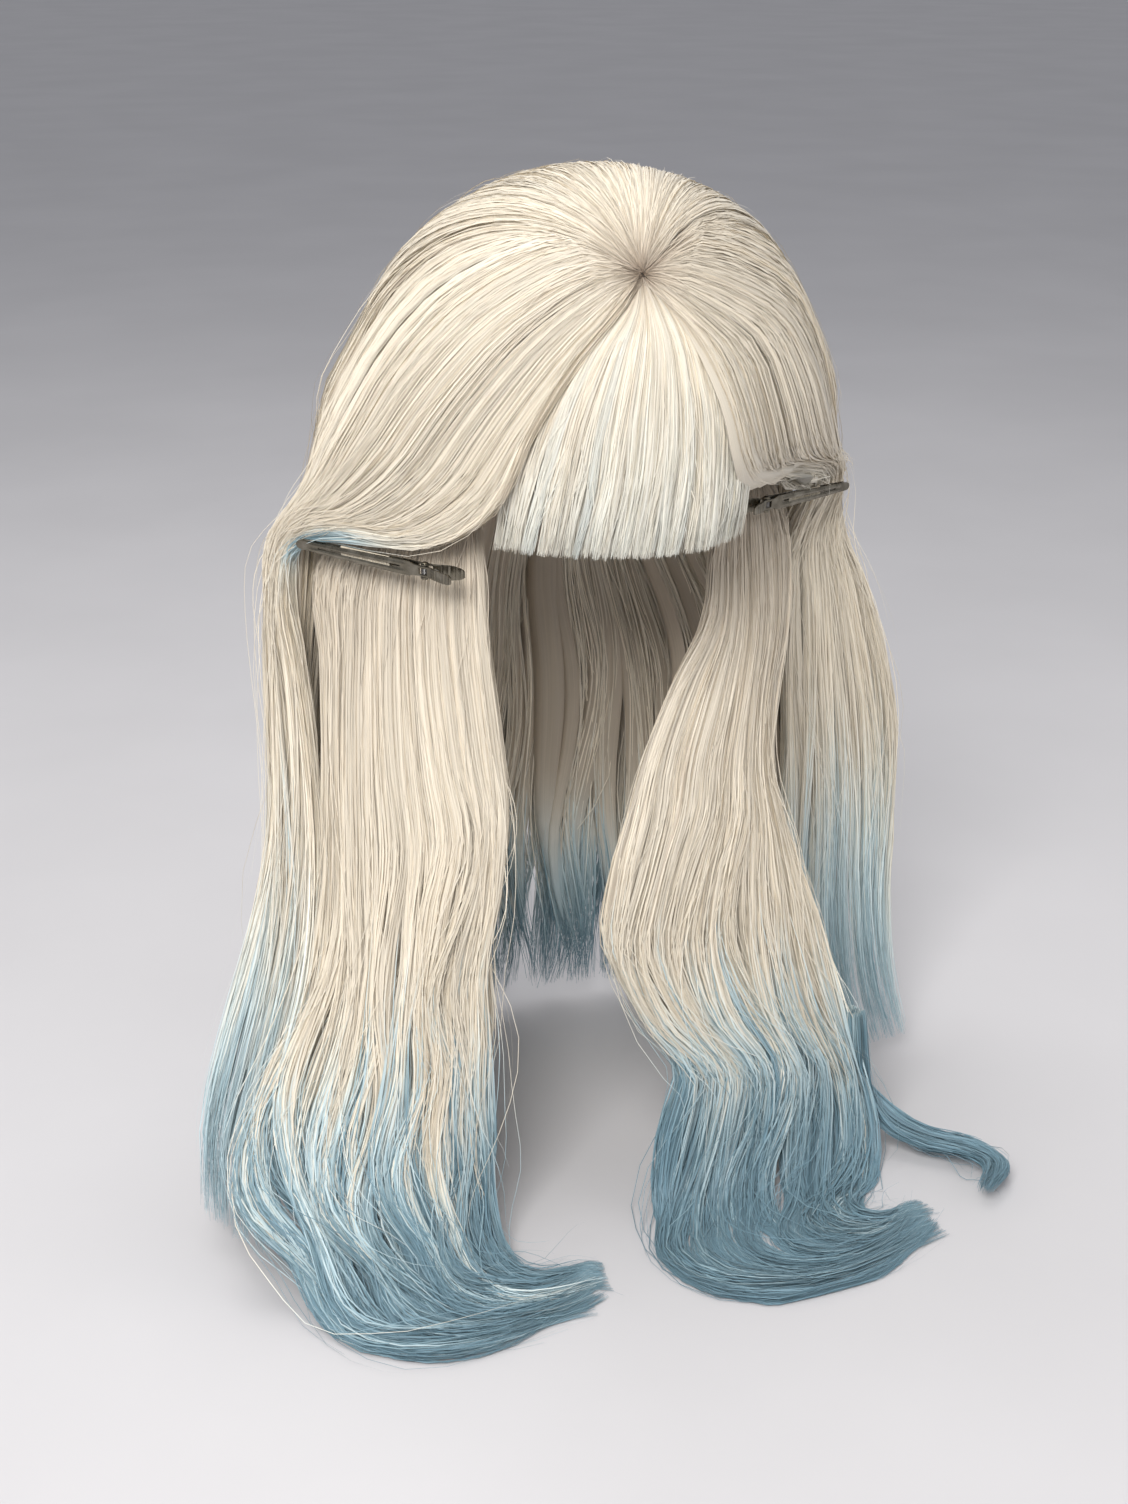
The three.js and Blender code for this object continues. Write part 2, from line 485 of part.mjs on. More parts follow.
// ---- duckbill clips --------------------------------------------------------------------------
const wasm = await Module();
wasm.setup();
function solid(geometry) {
  const p = (geometry.index ? geometry.toNonIndexed() : geometry).getAttribute("position");
  const seen = new Map();
  const verts = [];
  const tris = [];
  for (let i = 0; i < p.count; i++) {
    const c = [p.getX(i), p.getY(i), p.getZ(i)];
    const key = c.map((v) => Math.round(v * 2e3)).join();
    if (!seen.has(key)) {
      seen.set(key, seen.size);
      verts.push(...c);
    }
    tris.push(seen.get(key));
  }
  const mesh = new wasm.Mesh({ numProp: 3, vertProperties: new Float32Array(verts), triVerts: new Uint32Array(tris) });
  return new wasm.Manifold(mesh);
}
function unsolid(s) {
  const m = s.getMesh();
  const pos = [];
  for (const v of m.triVerts) pos.push(...m.vertProperties.subarray(v * m.numProp, v * m.numProp + 3));
  const g = new THREE.BufferGeometry();
  g.setAttribute("position", new THREE.Float32BufferAttribute(pos, 3));
  g.computeVertexNormals();
  return g;
}
// Clip space: x from the pivot to the nose, y across the blade, z outwards.
const block = (x0, x1, y0, y1, z0, z1) =>
  solid(new THREE.BoxGeometry(x1 - x0, y1 - y0, z1 - z0).translate((x0 + x1) / 2, (y0 + y1) / 2, (z0 + z1) / 2));
const rod = (r, y0, y1) => solid(new THREE.CylinderGeometry(r, r, y1 - y0, 24).translate(0, (y0 + y1) / 2, 0));
// A bent strip: stations of [x, z, half width].
function strip(stations) {
  const at = (i, j, side) => {
    const [x, z, h] = stations[Math.round(i * (stations.length - 1))];
    return V(x, lerp(-h, h, j), z + (side * CLIP_SHEET) / 2);
  };
  return solid(slab((i, j) => at(i, j, 1), (i, j) => at(i, j, -1), stations.length - 1, 1));
}
const JAW = CLIP_GAP / 2 + CLIP_SHEET / 2;
const HALF = CLIP_WIDTH / 2;
const EAR = 0.7;
const boreCut = rod(PIN_RADIUS + PIN_CLEARANCE, -HALF - 2, HALF + 2);
const innerHalf = HALF - EAR - 0.3; // the outer jaw sits between the inner jaw's ears
const lever = (s) => [[-CLIP_LEVER, s * 6.2], [-CLIP_LEVER * 0.7, s * 5.0], [-CLIP_LEVER * 0.35, s * 2.9], [-4.6, s * JAW]];
const noseHalf = CLIP_NOSE_WIDTH / 2;
const innerJaw = strip([
  ...lever(-1).map(([x, z], i) => [x, z, [2.6, HALF, HALF, HALF][i]]),
  [6, -JAW, HALF], [CLIP_BLADE * 0.55, -JAW, HALF * 0.86], [CLIP_BLADE - 4, -JAW, noseHalf], [CLIP_BLADE, -JAW, 1.2],
])
  .subtract(block(-4.5, 4.5, -HALF + EAR, HALF - EAR, -3, 3))
  .add(block(-3, 3, HALF - EAR, HALF, -JAW, 2.1))
  .add(block(-3, 3, -HALF, -HALF + EAR, -JAW, 2.1))
  .subtract(boreCut);
const outerJaw = strip([
  ...lever(1).map(([x, z], i) => [x, z, [2.2, innerHalf, innerHalf, innerHalf][i]]),
  [5, JAW, innerHalf], [8, JAW, HALF - 0.1], [CLIP_BLADE * 0.55, JAW, HALF * 0.84], [CLIP_BLADE - 4, JAW, noseHalf], [CLIP_BLADE, JAW, 1.2],
])
  .add(block(-2.1, 2.1, innerHalf - EAR, innerHalf, -2.1, JAW))
  .add(block(-2.1, 2.1, -innerHalf, -innerHalf + EAR, -2.1, JAW))
  .subtract(block(-2.7, 2.7, -innerHalf + EAR + 0.02, innerHalf - EAR - 0.02, 0, 4))
  .subtract(block(14, CLIP_BLADE * 0.82, -0.9, 0.9, 0, 4))
  .subtract(boreCut);
const pin = rod(PIN_RADIUS, -HALF - 0.3, HALF + 0.3).add(rod(1.8, -HALF - 0.9, -HALF - 0.25)).add(rod(1.8, HALF + 0.25, HALF + 0.9));
const coilHalf = innerHalf - EAR - 0.3;
const spring = rod(2.0, -coilHalf, coilHalf)
  .subtract(rod(PIN_RADIUS + 0.3, -HALF, HALF))
  .add(block(-8, -1.5, 0.2, coilHalf, 0.3, 0.7))
  .add(block(-8, -1.5, -coilHalf, -0.2, -0.7, -0.3))
  .subtract(rod(PIN_RADIUS + 0.3, -HALF, HALF));
const HELD = CLIP_GAP / 2 - 0.45; // half thickness of the hair between the jaws
const heldLock = block(24, 46, -12, 4.6, -HELD, HELD);

for (const [tag, nose, tail] of [
  ["R", V(-160, 14, -69), V(-100, -66, -72)],
  ["L", V(163, 12, -70), V(76, -34, -63)],
]) {
  nose.multiply(V(FIT_X, FIT_Y, 1));
  tail.multiply(V(FIT_X, FIT_Y, 1));
  const along = nose.clone().sub(tail).normalize();
  const outwards = V(along.y, -along.x, 0).normalize();
  if (outwards.y > 0) outwards.multiplyScalar(-1);
  const across = outwards.clone().cross(along).normalize();
  const m = new THREE.Matrix4().makeBasis(along, across, outwards);
  m.setPosition(nose.clone().addScaledVector(along, -CLIP_BLADE));
  const place = (name, s, color, rough, metal) => {
    const g = unsolid(s);
    g.applyMatrix4(m);
    add(name, g, color, rough, metal);
  };
  place("clip_" + tag + "_inner_jaw", innerJaw, STEEL, 0.35, 0.95);
  place("clip_" + tag + "_outer_jaw", outerJaw, STEEL, 0.35, 0.95);
  place("clip_" + tag + "_pin", pin, 0xb5b0a8, 0.3, 1);
  place("clip_" + tag + "_spring", spring, 0x6f6b66, 0.4, 1);
  place("clip_" + tag + "_held_lock", heldLock, HAIR, 0.6, 0);
}

export default group;
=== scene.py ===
"""A long costume wig with a straight fringe, clipped-back sides and lengths that fade to dusty blue."""

import math

import bpy
import numpy as np
from mathutils import Matrix, Vector


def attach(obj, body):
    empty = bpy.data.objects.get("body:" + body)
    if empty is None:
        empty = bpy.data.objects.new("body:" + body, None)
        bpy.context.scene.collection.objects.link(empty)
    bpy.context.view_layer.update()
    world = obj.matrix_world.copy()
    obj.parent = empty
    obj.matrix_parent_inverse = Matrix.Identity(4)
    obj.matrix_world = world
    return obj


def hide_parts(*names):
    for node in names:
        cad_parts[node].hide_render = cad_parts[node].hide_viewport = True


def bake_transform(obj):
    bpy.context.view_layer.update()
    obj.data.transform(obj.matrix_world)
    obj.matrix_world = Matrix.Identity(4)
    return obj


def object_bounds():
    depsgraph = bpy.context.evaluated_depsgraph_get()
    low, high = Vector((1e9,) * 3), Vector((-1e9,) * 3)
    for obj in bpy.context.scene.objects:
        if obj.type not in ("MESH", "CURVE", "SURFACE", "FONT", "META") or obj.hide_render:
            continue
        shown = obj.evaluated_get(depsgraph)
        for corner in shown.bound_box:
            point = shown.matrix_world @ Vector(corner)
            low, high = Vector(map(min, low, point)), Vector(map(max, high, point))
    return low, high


bl_info = {
    "name": "Costume Wig",
    "version": (1, 0, 0),
    "blender": (4, 5, 0),
    "location": "View3D > Sidebar > Wig",
    "description": "Builds a long two-tone costume wig with duckbill clips",
    "category": "Object",
}

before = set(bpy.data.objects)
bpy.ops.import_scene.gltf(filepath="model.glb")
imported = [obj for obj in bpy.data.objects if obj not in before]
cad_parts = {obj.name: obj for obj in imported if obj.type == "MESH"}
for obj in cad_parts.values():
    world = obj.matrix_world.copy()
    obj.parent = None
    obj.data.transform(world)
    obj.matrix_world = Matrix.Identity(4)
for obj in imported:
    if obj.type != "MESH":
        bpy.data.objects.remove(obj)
CAD_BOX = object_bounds()
MM = 0.001

# ---- the head's oval, which the cap follows (millimetres) ----------------------------------
HEAD_HALF_WIDTH = 77.0
HEAD_HALF_DEPTH = 97.0
HEAD_CROWN_RISE = 100.0
HEAD_LOWER_DROP = 135.0
EDGE = (
    (0, 40), (30, 36), (50, 20), (66, 0), (80, -8), (95, -6), (110, -14), (130, -40), (155, -60), (180, -64),
)


def on_head(turn, polar, out):
    """A point out from the head's oval; turn is degrees round from the face, polar degrees down."""
    f = np.radians(turn)
    q = np.radians(polar)
    c = np.where(np.asarray(polar) <= 90, HEAD_CROWN_RISE, HEAD_LOWER_DROP)
    s = np.stack([np.sin(q) * np.sin(f), -np.sin(q) * np.cos(f), np.cos(q) + 0 * f], -1)
    size = np.stack([HEAD_HALF_WIDTH + 0 * c, HEAD_HALF_DEPTH + 0 * c, c + 0.0], -1)
    n = s / size
    n /= np.linalg.norm(n, axis=-1, keepdims=True)
    return s * size + n * np.asarray(out)[..., None]


def polar_at(z):
    """Degrees down from the crown of the level z on the head's oval."""
    return math.degrees(math.acos(z / (HEAD_CROWN_RISE if z >= 0 else HEAD_LOWER_DROP)))


def edge_level(turn):
    """Height of the cap's lower edge at a turn."""
    t = abs(turn)
    if t > 180:
        t = 360 - t
    for (t0, z0), (t1, z1) in zip(EDGE, EDGE[1:]):
        if t <= t1:
            f = (t - t0) / (t1 - t0)
            return z0 + (z1 - z0) * f * f * (3 - 2 * f)
    return EDGE[-1][1]


# ---- hair guides (millimetres), the same lines as the plain solids follow ---------------------
DOME_RISE = 118.0
WHORL = np.array([-0.08, -0.766, 0.643]) / np.linalg.norm([-0.08, -0.766, 0.643])


def flare(z):
    return np.where(z < 50, 35 * (1 - np.exp(-(((50 - z) / 60) ** 2))), 0.0)


def dome(d):
    """The point of the hair's rounded outer face in a direction from the head's middle."""
    f = math.atan2(d[0], -d[1])
    q = math.acos(max(-1.0, min(1.0, d[2])))
    z = DOME_RISE * math.cos(q)
    rx = 130 * math.sin(q) + float(flare(z))
    ry = 112 * math.sin(q) if math.cos(f) > 0 else 116 * math.sin(q) + 0.5 * float(flare(z))
    return [rx * math.sin(f), -ry * math.cos(f), z]


def slerp(a, b, t):
    om = math.acos(max(-1.0, min(1.0, float(np.dot(a, b)))))
    return (math.sin((1 - t) * om) * a + math.sin(t * om) * b) / math.sin(om)


def flow(turn, n):
    """Points from the whorl up over the dome and down to its rim."""
    e = np.array([math.sin(math.radians(turn)), -math.cos(math.radians(turn)), 0.0])
    m = 0.55 * e + np.array([0, 0, 0.85])
    m /= np.linalg.norm(m)
    out = []
    for i in range(n):
        t = i / (n - 1)
        if t in (0.0, 1.0):
            out.append(dome(e if t else WHORL))
        else:
            out.append(dome(slerp(slerp(WHORL, m, t), slerp(m, e, t), t)))
    return out


CENTRE = dome(WHORL)
FRINGE = [
    [
        CENTRE, [-26, -91, 62], [-46, -90, 44], [-64, -81, 14], [-75, -72, -18], [-78, -66, -40],
        [-80, -60, -62],
    ],
    [
        CENTRE, [-18, -94, 60], [-31, -101, 42], [-42, -103, 12], [-47, -100, -18], [-50, -95, -40],
        [-52, -88, -62],
    ],
    [
        CENTRE, [-7, -95, 59], [-6, -105, 40], [-8, -111, 10], [-10, -112, -18], [-12, -109, -40],
        [-14, -105, -62],
    ],
    [CENTRE, [5, -95, 60], [14, -102, 42], [21, -108, 12], [23, -108, -18], [23, -106, -40], [22, -102, -62]],
    [CENTRE, [11, -93, 62], [30, -96, 44], [44, -96, 14], [50, -92, -18], [51, -88, -40], [50, -84, -62]],
]
WING_R = [
    [
        CENTRE, [-27, -94, 61], [-50, -94, 37], [-70, -86, 3], [-86, -75, -37], [-112, -46, -61],
        [-146, -2, -66], [-162, 22, -76],
    ],
    [
        CENTRE, [-28, -90, 62], [-52, -85, 36], [-75, -75, 2], [-94, -62, -32], [-120, -38, -55],
        [-146, -4, -58], [-163, 24, -72],
    ],
    [
        CENTRE, [-36, -82, 76], [-73, -69, 52], [-101, -55, 18], [-123, -36, -20], [-142, -12, -44],
        [-157, 10, -56], [-166, 28, -74],
    ],
    [
        CENTRE, [-42, -68, 90], [-86, -46, 68], [-117, -28, 34], [-138, -12, -6], [-151, 4, -36],
        [-162, 20, -56], [-169, 32, -76],
    ],
    flow(-92, 5) + [[-155, 18, -34], [-165, 28, -58], [-172, 37, -78]],
]
WING_L = [
    [
        CENTRE, [3, -99, 59], [15, -106, 40], [26, -112, 14], [36, -108, -14], [56, -84, -34],
        [92, -38, -47], [138, 0, -60],
    ],
    [
        CENTRE, [12, -95, 64], [46, -91, 38], [64, -84, 2], [78, -71, -28], [104, -32, -42],
        [143, 3, -54], [161, 22, -70],
    ],
    [
        CENTRE, [20, -84, 76], [72, -69, 52], [101, -55, 18], [123, -36, -20], [142, -12, -44],
        [158, 10, -56], [168, 28, -74],
    ],
    [
        CENTRE, [32, -68, 90], [86, -46, 68], [117, -28, 34], [138, -12, -6], [151, 4, -36],
        [163, 20, -56], [171, 32, -76],
    ],
    flow(92, 5) + [[155, 18, -34], [166, 28, -58], [174, 37, -78]],
]
TAIL_R = [
    [-171, 30, -104], [-172, 26, -140], [-176, 14, -192], [-184, -2, -244], [-198, -22, -290],
    [-217, -41, -336],
    [-232, -56, -380], [-238, -74, -420],
]
TAIL_L = [
    [160, 29, -104], [165, 25, -140], [172, 24, -192], [178, 26, -244], [180, 26, -290], [177, 18, -336],
    [176, 2, -382], [180, -20, -422],
]
FRONT_R = [
    [
        [-79, -34, -34], [-80, -46, -74], [-83, -58, -112], [-81, -70, -160], [-80, -80, -195],
        [-88, -88, -235],
        [-95, -92, -276], [-91, -98, -320], [-98, -107, -363], [-106, -116, -400], [-100, -128, -425],
        [-86, -142, -434],
        [-70, -150, -434.5], [-54, -154, -434.5],
    ],
    [
        [-84, -20, -30], [-103, -30, -74], [-109, -42, -122], [-110, -58, -175], [-107, -72, -215],
        [-120, -82, -250],
        [-134, -93, -292], [-131, -103, -335], [-141, -114, -376], [-143, -128, -406], [-134, -144, -427],
        [-112, -158, -434],
        [-84, -166, -434.5], [-58, -166, -434.5],
    ],
    [
        [-86, -4, -26], [-126, -6, -76], [-137, -18, -127], [-145, -34, -182], [-149, -50, -228],
        [-157, -66, -270],
        [-170, -80, -312], [-181, -95, -350], [-189, -112, -384], [-184, -132, -408], [-170, -154, -428],
        [-142, -170, -434],
        [-104, -178, -434.5], [-66, -176, -434.5],
    ],
    [
        [-84, 12, -22], [-146, 22, -80], [-152, 12, -132], [-158, -4, -188], [-166, -22, -240],
        [-182, -40, -281],
        [-204, -54, -318], [-222, -72, -352], [-231, -96, -384], [-222, -124, -408], [-206, -152, -428],
        [-172, -178, -434],
        [-126, -191, -434.5], [-78, -186, -434.5],
    ],
]
FRONT_L = [
    [
        [79, -32, -34], [62, -29, -78], [54, -38, -122], [31, -46, -155], [10, -60, -189], [-3, -75, -216],
        [-18, -88, -245],
        [-28, -95, -284], [-8, -100, -322], [22, -104, -362], [6, -112, -402], [-14, -126, -428],
        [-22, -156, -434],
        [-4, -190, -434.5], [40, -210, -434.5], [92, -208, -434.5], [134, -193, -434.5],
    ],
    [
        [84, -18, -30], [82, -19, -80], [78, -32, -128], [66, -46, -160], [52, -60, -194], [44, -74, -222],
        [28, -86, -250],
        [16, -94, -288], [28, -101, -328], [58, -106, -366], [50, -114, -404], [28, -128, -428],
        [16, -152, -434],
        [26, -178, -434.5], [58, -195, -434.5], [98, -194, -434.5], [134, -182, -434.5],
    ],
    [
        [86, -4, -26], [104, -3, -80], [100, -21, -132], [86, -40, -170], [78, -56, -204], [76, -72, -234],
        [72, -84, -264],
        [72, -92, -300], [84, -98, -338], [104, -102, -374], [102, -110, -406], [84, -128, -428],
        [70, -148, -434],
        [68, -168, -434.5], [84, -180, -434.5], [110, -180, -434.5], [136, -172, -434.5],
    ],
    [
        [84, 10, -22], [126, 17, -80], [121, -5, -134], [102, -30, -176], [90, -52, -210], [94, -70, -246],
        [102, -82, -282],
        [112, -88, -318], [126, -92, -354], [136, -98, -388], [134, -108, -410], [122, -126, -429],
        [110, -142, -434],
        [106, -156, -434.5], [112, -166, -434.5], [124, -168, -434.5], [138, -162, -434.5],
    ],
]
CURL_L = [
    [121, -92, -352], [126, -90, -384], [137, -88, -412], [150, -100, -428], [164, -118, -433],
    [181, -136, -433.5],
    [186, -158, -433.5], [166, -177, -433.5],
]
BACK_TURNS = (96, 116, 138, 160, 180, 200, 222, 244, 264)
BACK_LEVELS = (-50, -104, -160, -215, -270, -325, -375, -425)


def back_guides():
    """Guides from the whorl over the back of the dome and down to the table."""
    out = []
    for turn in BACK_TURNS:
        low = []
        for i, z in enumerate(BACK_LEVELS):
            wave = 1 + 0.034 * (i / 7) * math.sin(i * 1.9 + turn * 0.05)
            low_turn = math.radians(180 + (turn - 180) * 0.83)
            rx, ry = (161 + i * 7.4) * wave, (128 + i * 3.4) * wave
            low.append([rx * math.sin(low_turn), -ry * math.cos(low_turn), z])
        out.append(flow(turn, 8) + low)
    return out


def nape_guides():
    """Guides from the lowest weft rows down inside the back lengths."""
    out = []
    for turn in (112, 135, 158, 180, 202, 225, 248):
        f = math.radians(turn)
        line = [list(on_head(turn, polar_at(edge_level(turn) + 16), 4.5))]
        line.append(list(on_head(turn, polar_at(edge_level(turn) + 2), 8.0)))
        for z, rx, ry in (
            (-96, 96, 102), (-140, 122, 114), (-190, 146, 120), (-250, 160, 124), (-310, 170, 128),
            (-370, 176, 130), (-420, 180, 132),
        ):
            line.append([rx * math.sin(f), -ry * math.cos(f), z])
        out.append(line)
    return out


def with_tail(wing, tail, across, spreads):
    """A swept section's guides carried on down its tail, spread across it."""
    out = []
    for i, g in enumerate(wing):
        k = (i / (len(wing) - 1) - 0.5) * 2
        low = []
        for j, p in enumerate(tail):
            low.append([p[0] + across[0] * k * spreads[j], p[1] + across[1] * k * spreads[j], p[2]])
        out.append(list(g) + low)
    return out


# ---- strands ---------------------------------------------------------------------------------
def spline_weights(f):
    weights = [-f + 2 * f**2 - f**3, 2 - 5 * f**2 + 3 * f**3, f + 4 * f**2 - 3 * f**3, -(f**2) + f**3]
    return 0.5 * np.stack(weights, -1)


class Sheet:
    """A smooth sheet through guides: a runs across them and t along them, both from 0 to 1."""

    def __init__(self, guides, outward):
        g = np.array(guides, float) * MM
        g = np.concatenate([2 * g[:1] - g[1:2], g, 2 * g[-1:] - g[-2:-1]], 0)
        g = np.concatenate([2 * g[:, :1] - g[:, 1:2], g, 2 * g[:, -1:] - g[:, -2:-1]], 1)
        self.grid = g
        self.na, self.nt = g.shape[0] - 2, g.shape[1] - 2
        self.outward = outward

    def at(self, a, t):
        a = np.clip(a, 0, 1) * (self.na - 1)
        t = np.clip(t, 0, 1) * (self.nt - 1)
        ia = np.minimum(a.astype(int), self.na - 2)
        it = np.minimum(t.astype(int), self.nt - 2)
        wa, wt = spline_weights(a - ia), spline_weights(t - it)
        out = np.zeros(a.shape + (3,))
        for i in range(4):
            for j in range(4):
                out += (wa[..., i] * wt[..., j])[..., None] * self.grid[ia + i, it + j]
        return out

    def frame(self, a, t):
        """Point, outward normal and sideways direction."""
        e = 0.01
        p = self.at(a, t)
        da = self.at(np.minimum(a + e, 1), t) - self.at(np.maximum(a - e, 0), t)
        dt = self.at(a, np.minimum(t + e, 1)) - self.at(a, np.maximum(t - e, 0))
        n = np.cross(da, dt) * self.outward
        n /= np.linalg.norm(n, axis=-1, keepdims=True) + 1e-12
        s = np.cross(dt, n)
        s /= np.linalg.norm(s, axis=-1, keepdims=True) + 1e-12
        return p, n, s


def smooth(x, lo, hi):
    x = np.clip((x - lo) / (hi - lo), 0, 1)
    return x * x * (3 - 2 * x)


class Strands:
    """Lines of points with widths and colour values, gathered before they become one mesh."""

    def __init__(self):
        self.parts = []

    def add(self, points, normals, width, tint, root, value, sides):
        self.parts.append((points, normals, width, tint, root, value, sides))

    def mesh(self, name):
        """Builds the mesh: thin strips for strands (sides 2) and rounds for lock bodies."""
        verts, faces, tint, root, value, across, along, bake = [], [], [], [], [], [], [], []
        base = 0
        total = sum(p[0].shape[0] for p in self.parts)
        column = 0
        for pts, nrm, wid, tnt, rt, val, sides in self.parts:
            n, m = pts.shape[:2]
            tan = np.gradient(pts, axis=1)
            tan /= np.linalg.norm(tan, axis=-1, keepdims=True) + 1e-12
            side = np.cross(tan, nrm)
            side /= np.linalg.norm(side, axis=-1, keepdims=True) + 1e-12
            up = np.cross(side, tan)
            if sides == 2:
                shape = ((-1.0, 0.0), (1.0, 0.0))
            else:
                ang = np.linspace(0, 2 * math.pi, sides + 1)
                shape = tuple((math.cos(x), 0.42 * math.sin(x)) for x in ang)
            k = len(shape)
            corners = [pts + side * (wid * u)[..., None] + up * (wid * v)[..., None] for u, v in shape]
            ring = np.stack(corners, 2)
            verts.append(ring.reshape(-1, 3))
            idx = base + np.arange(n * m * k).reshape(n, m, k)
            quad = np.stack([idx[:, :-1, :-1], idx[:, 1:, :-1], idx[:, 1:, 1:], idx[:, :-1, 1:]], -1)
            faces.append(quad.reshape(-1, 4))
            base += n * m * k
            for store, arr in ((tint, tnt), (root, rt)):
                store.append(np.repeat(arr.reshape(-1), k))
            value.append(np.repeat(np.repeat(val, m), k))
            u = np.broadcast_to(np.linspace(0, 1, k), (n, m, k))
            v = np.broadcast_to(np.linspace(0, 1, m)[None, :, None], (n, m, k))
            across.append((u + val[:, None, None] * 37.0).reshape(-1))
            along.append(v.reshape(-1))
            col = (column + np.arange(n))[:, None, None]
            bake.append(np.stack([(col + 0.15 + 0.7 * u) / total, 0.01 + 0.98 * v], -1).reshape(-1, 2))
            column += n
        co = np.concatenate(verts).astype(np.float32)
        fa = np.concatenate(faces).astype(np.int32)
        me = bpy.data.meshes.new(name)
        me.vertices.add(len(co))
        me.vertices.foreach_set("co", co.ravel())
        me.loops.add(fa.size)
        me.loops.foreach_set("vertex_index", fa.ravel())
        me.polygons.add(len(fa))
        me.polygons.foreach_set("loop_start", np.arange(0, fa.size, 4, dtype=np.int32))
        me.polygons.foreach_set("use_smooth", np.ones(len(fa), bool))
        me.update(calc_edges=True)
        # root holds the darker roots together with painted shade.
        for label, data in (
            ("tint", tint), ("root", root), ("strand", value), ("across", across), ("along", along),
        ):
            at = me.attributes.new(label, "FLOAT", "POINT")
            at.data.foreach_set("value", np.concatenate(data).astype(np.float32))
        uv = me.uv_layers.new(name="OFBake")
        uv.data.foreach_set("uv", np.concatenate(bake)[fa.ravel()].astype(np.float32).ravel())
        me.validate()
        return me


def ombre(z, jitter, start, depth):
    """0 is the cream of the roots and 1 the dusty blue of the tips, by height."""
    return np.clip((start + jitter - z) / depth, 0, 1)


def keep_inside(p):
    """Draws in what strays past the plain solids' box; nothing goes below table level."""
    low = np.array(list(CAD_BOX[0])) + (-0.004, -0.004, 0.0008)
    high = np.array(list(CAD_BOX[1])) + (0.004, 0.004, 0.002)
    p = np.where(p < low, low - (low - p) * (0.16, 0.16, 0.0), p)
    return np.where(p > high, high + (p - high) * (0.24, 0.24, 0.048), p)


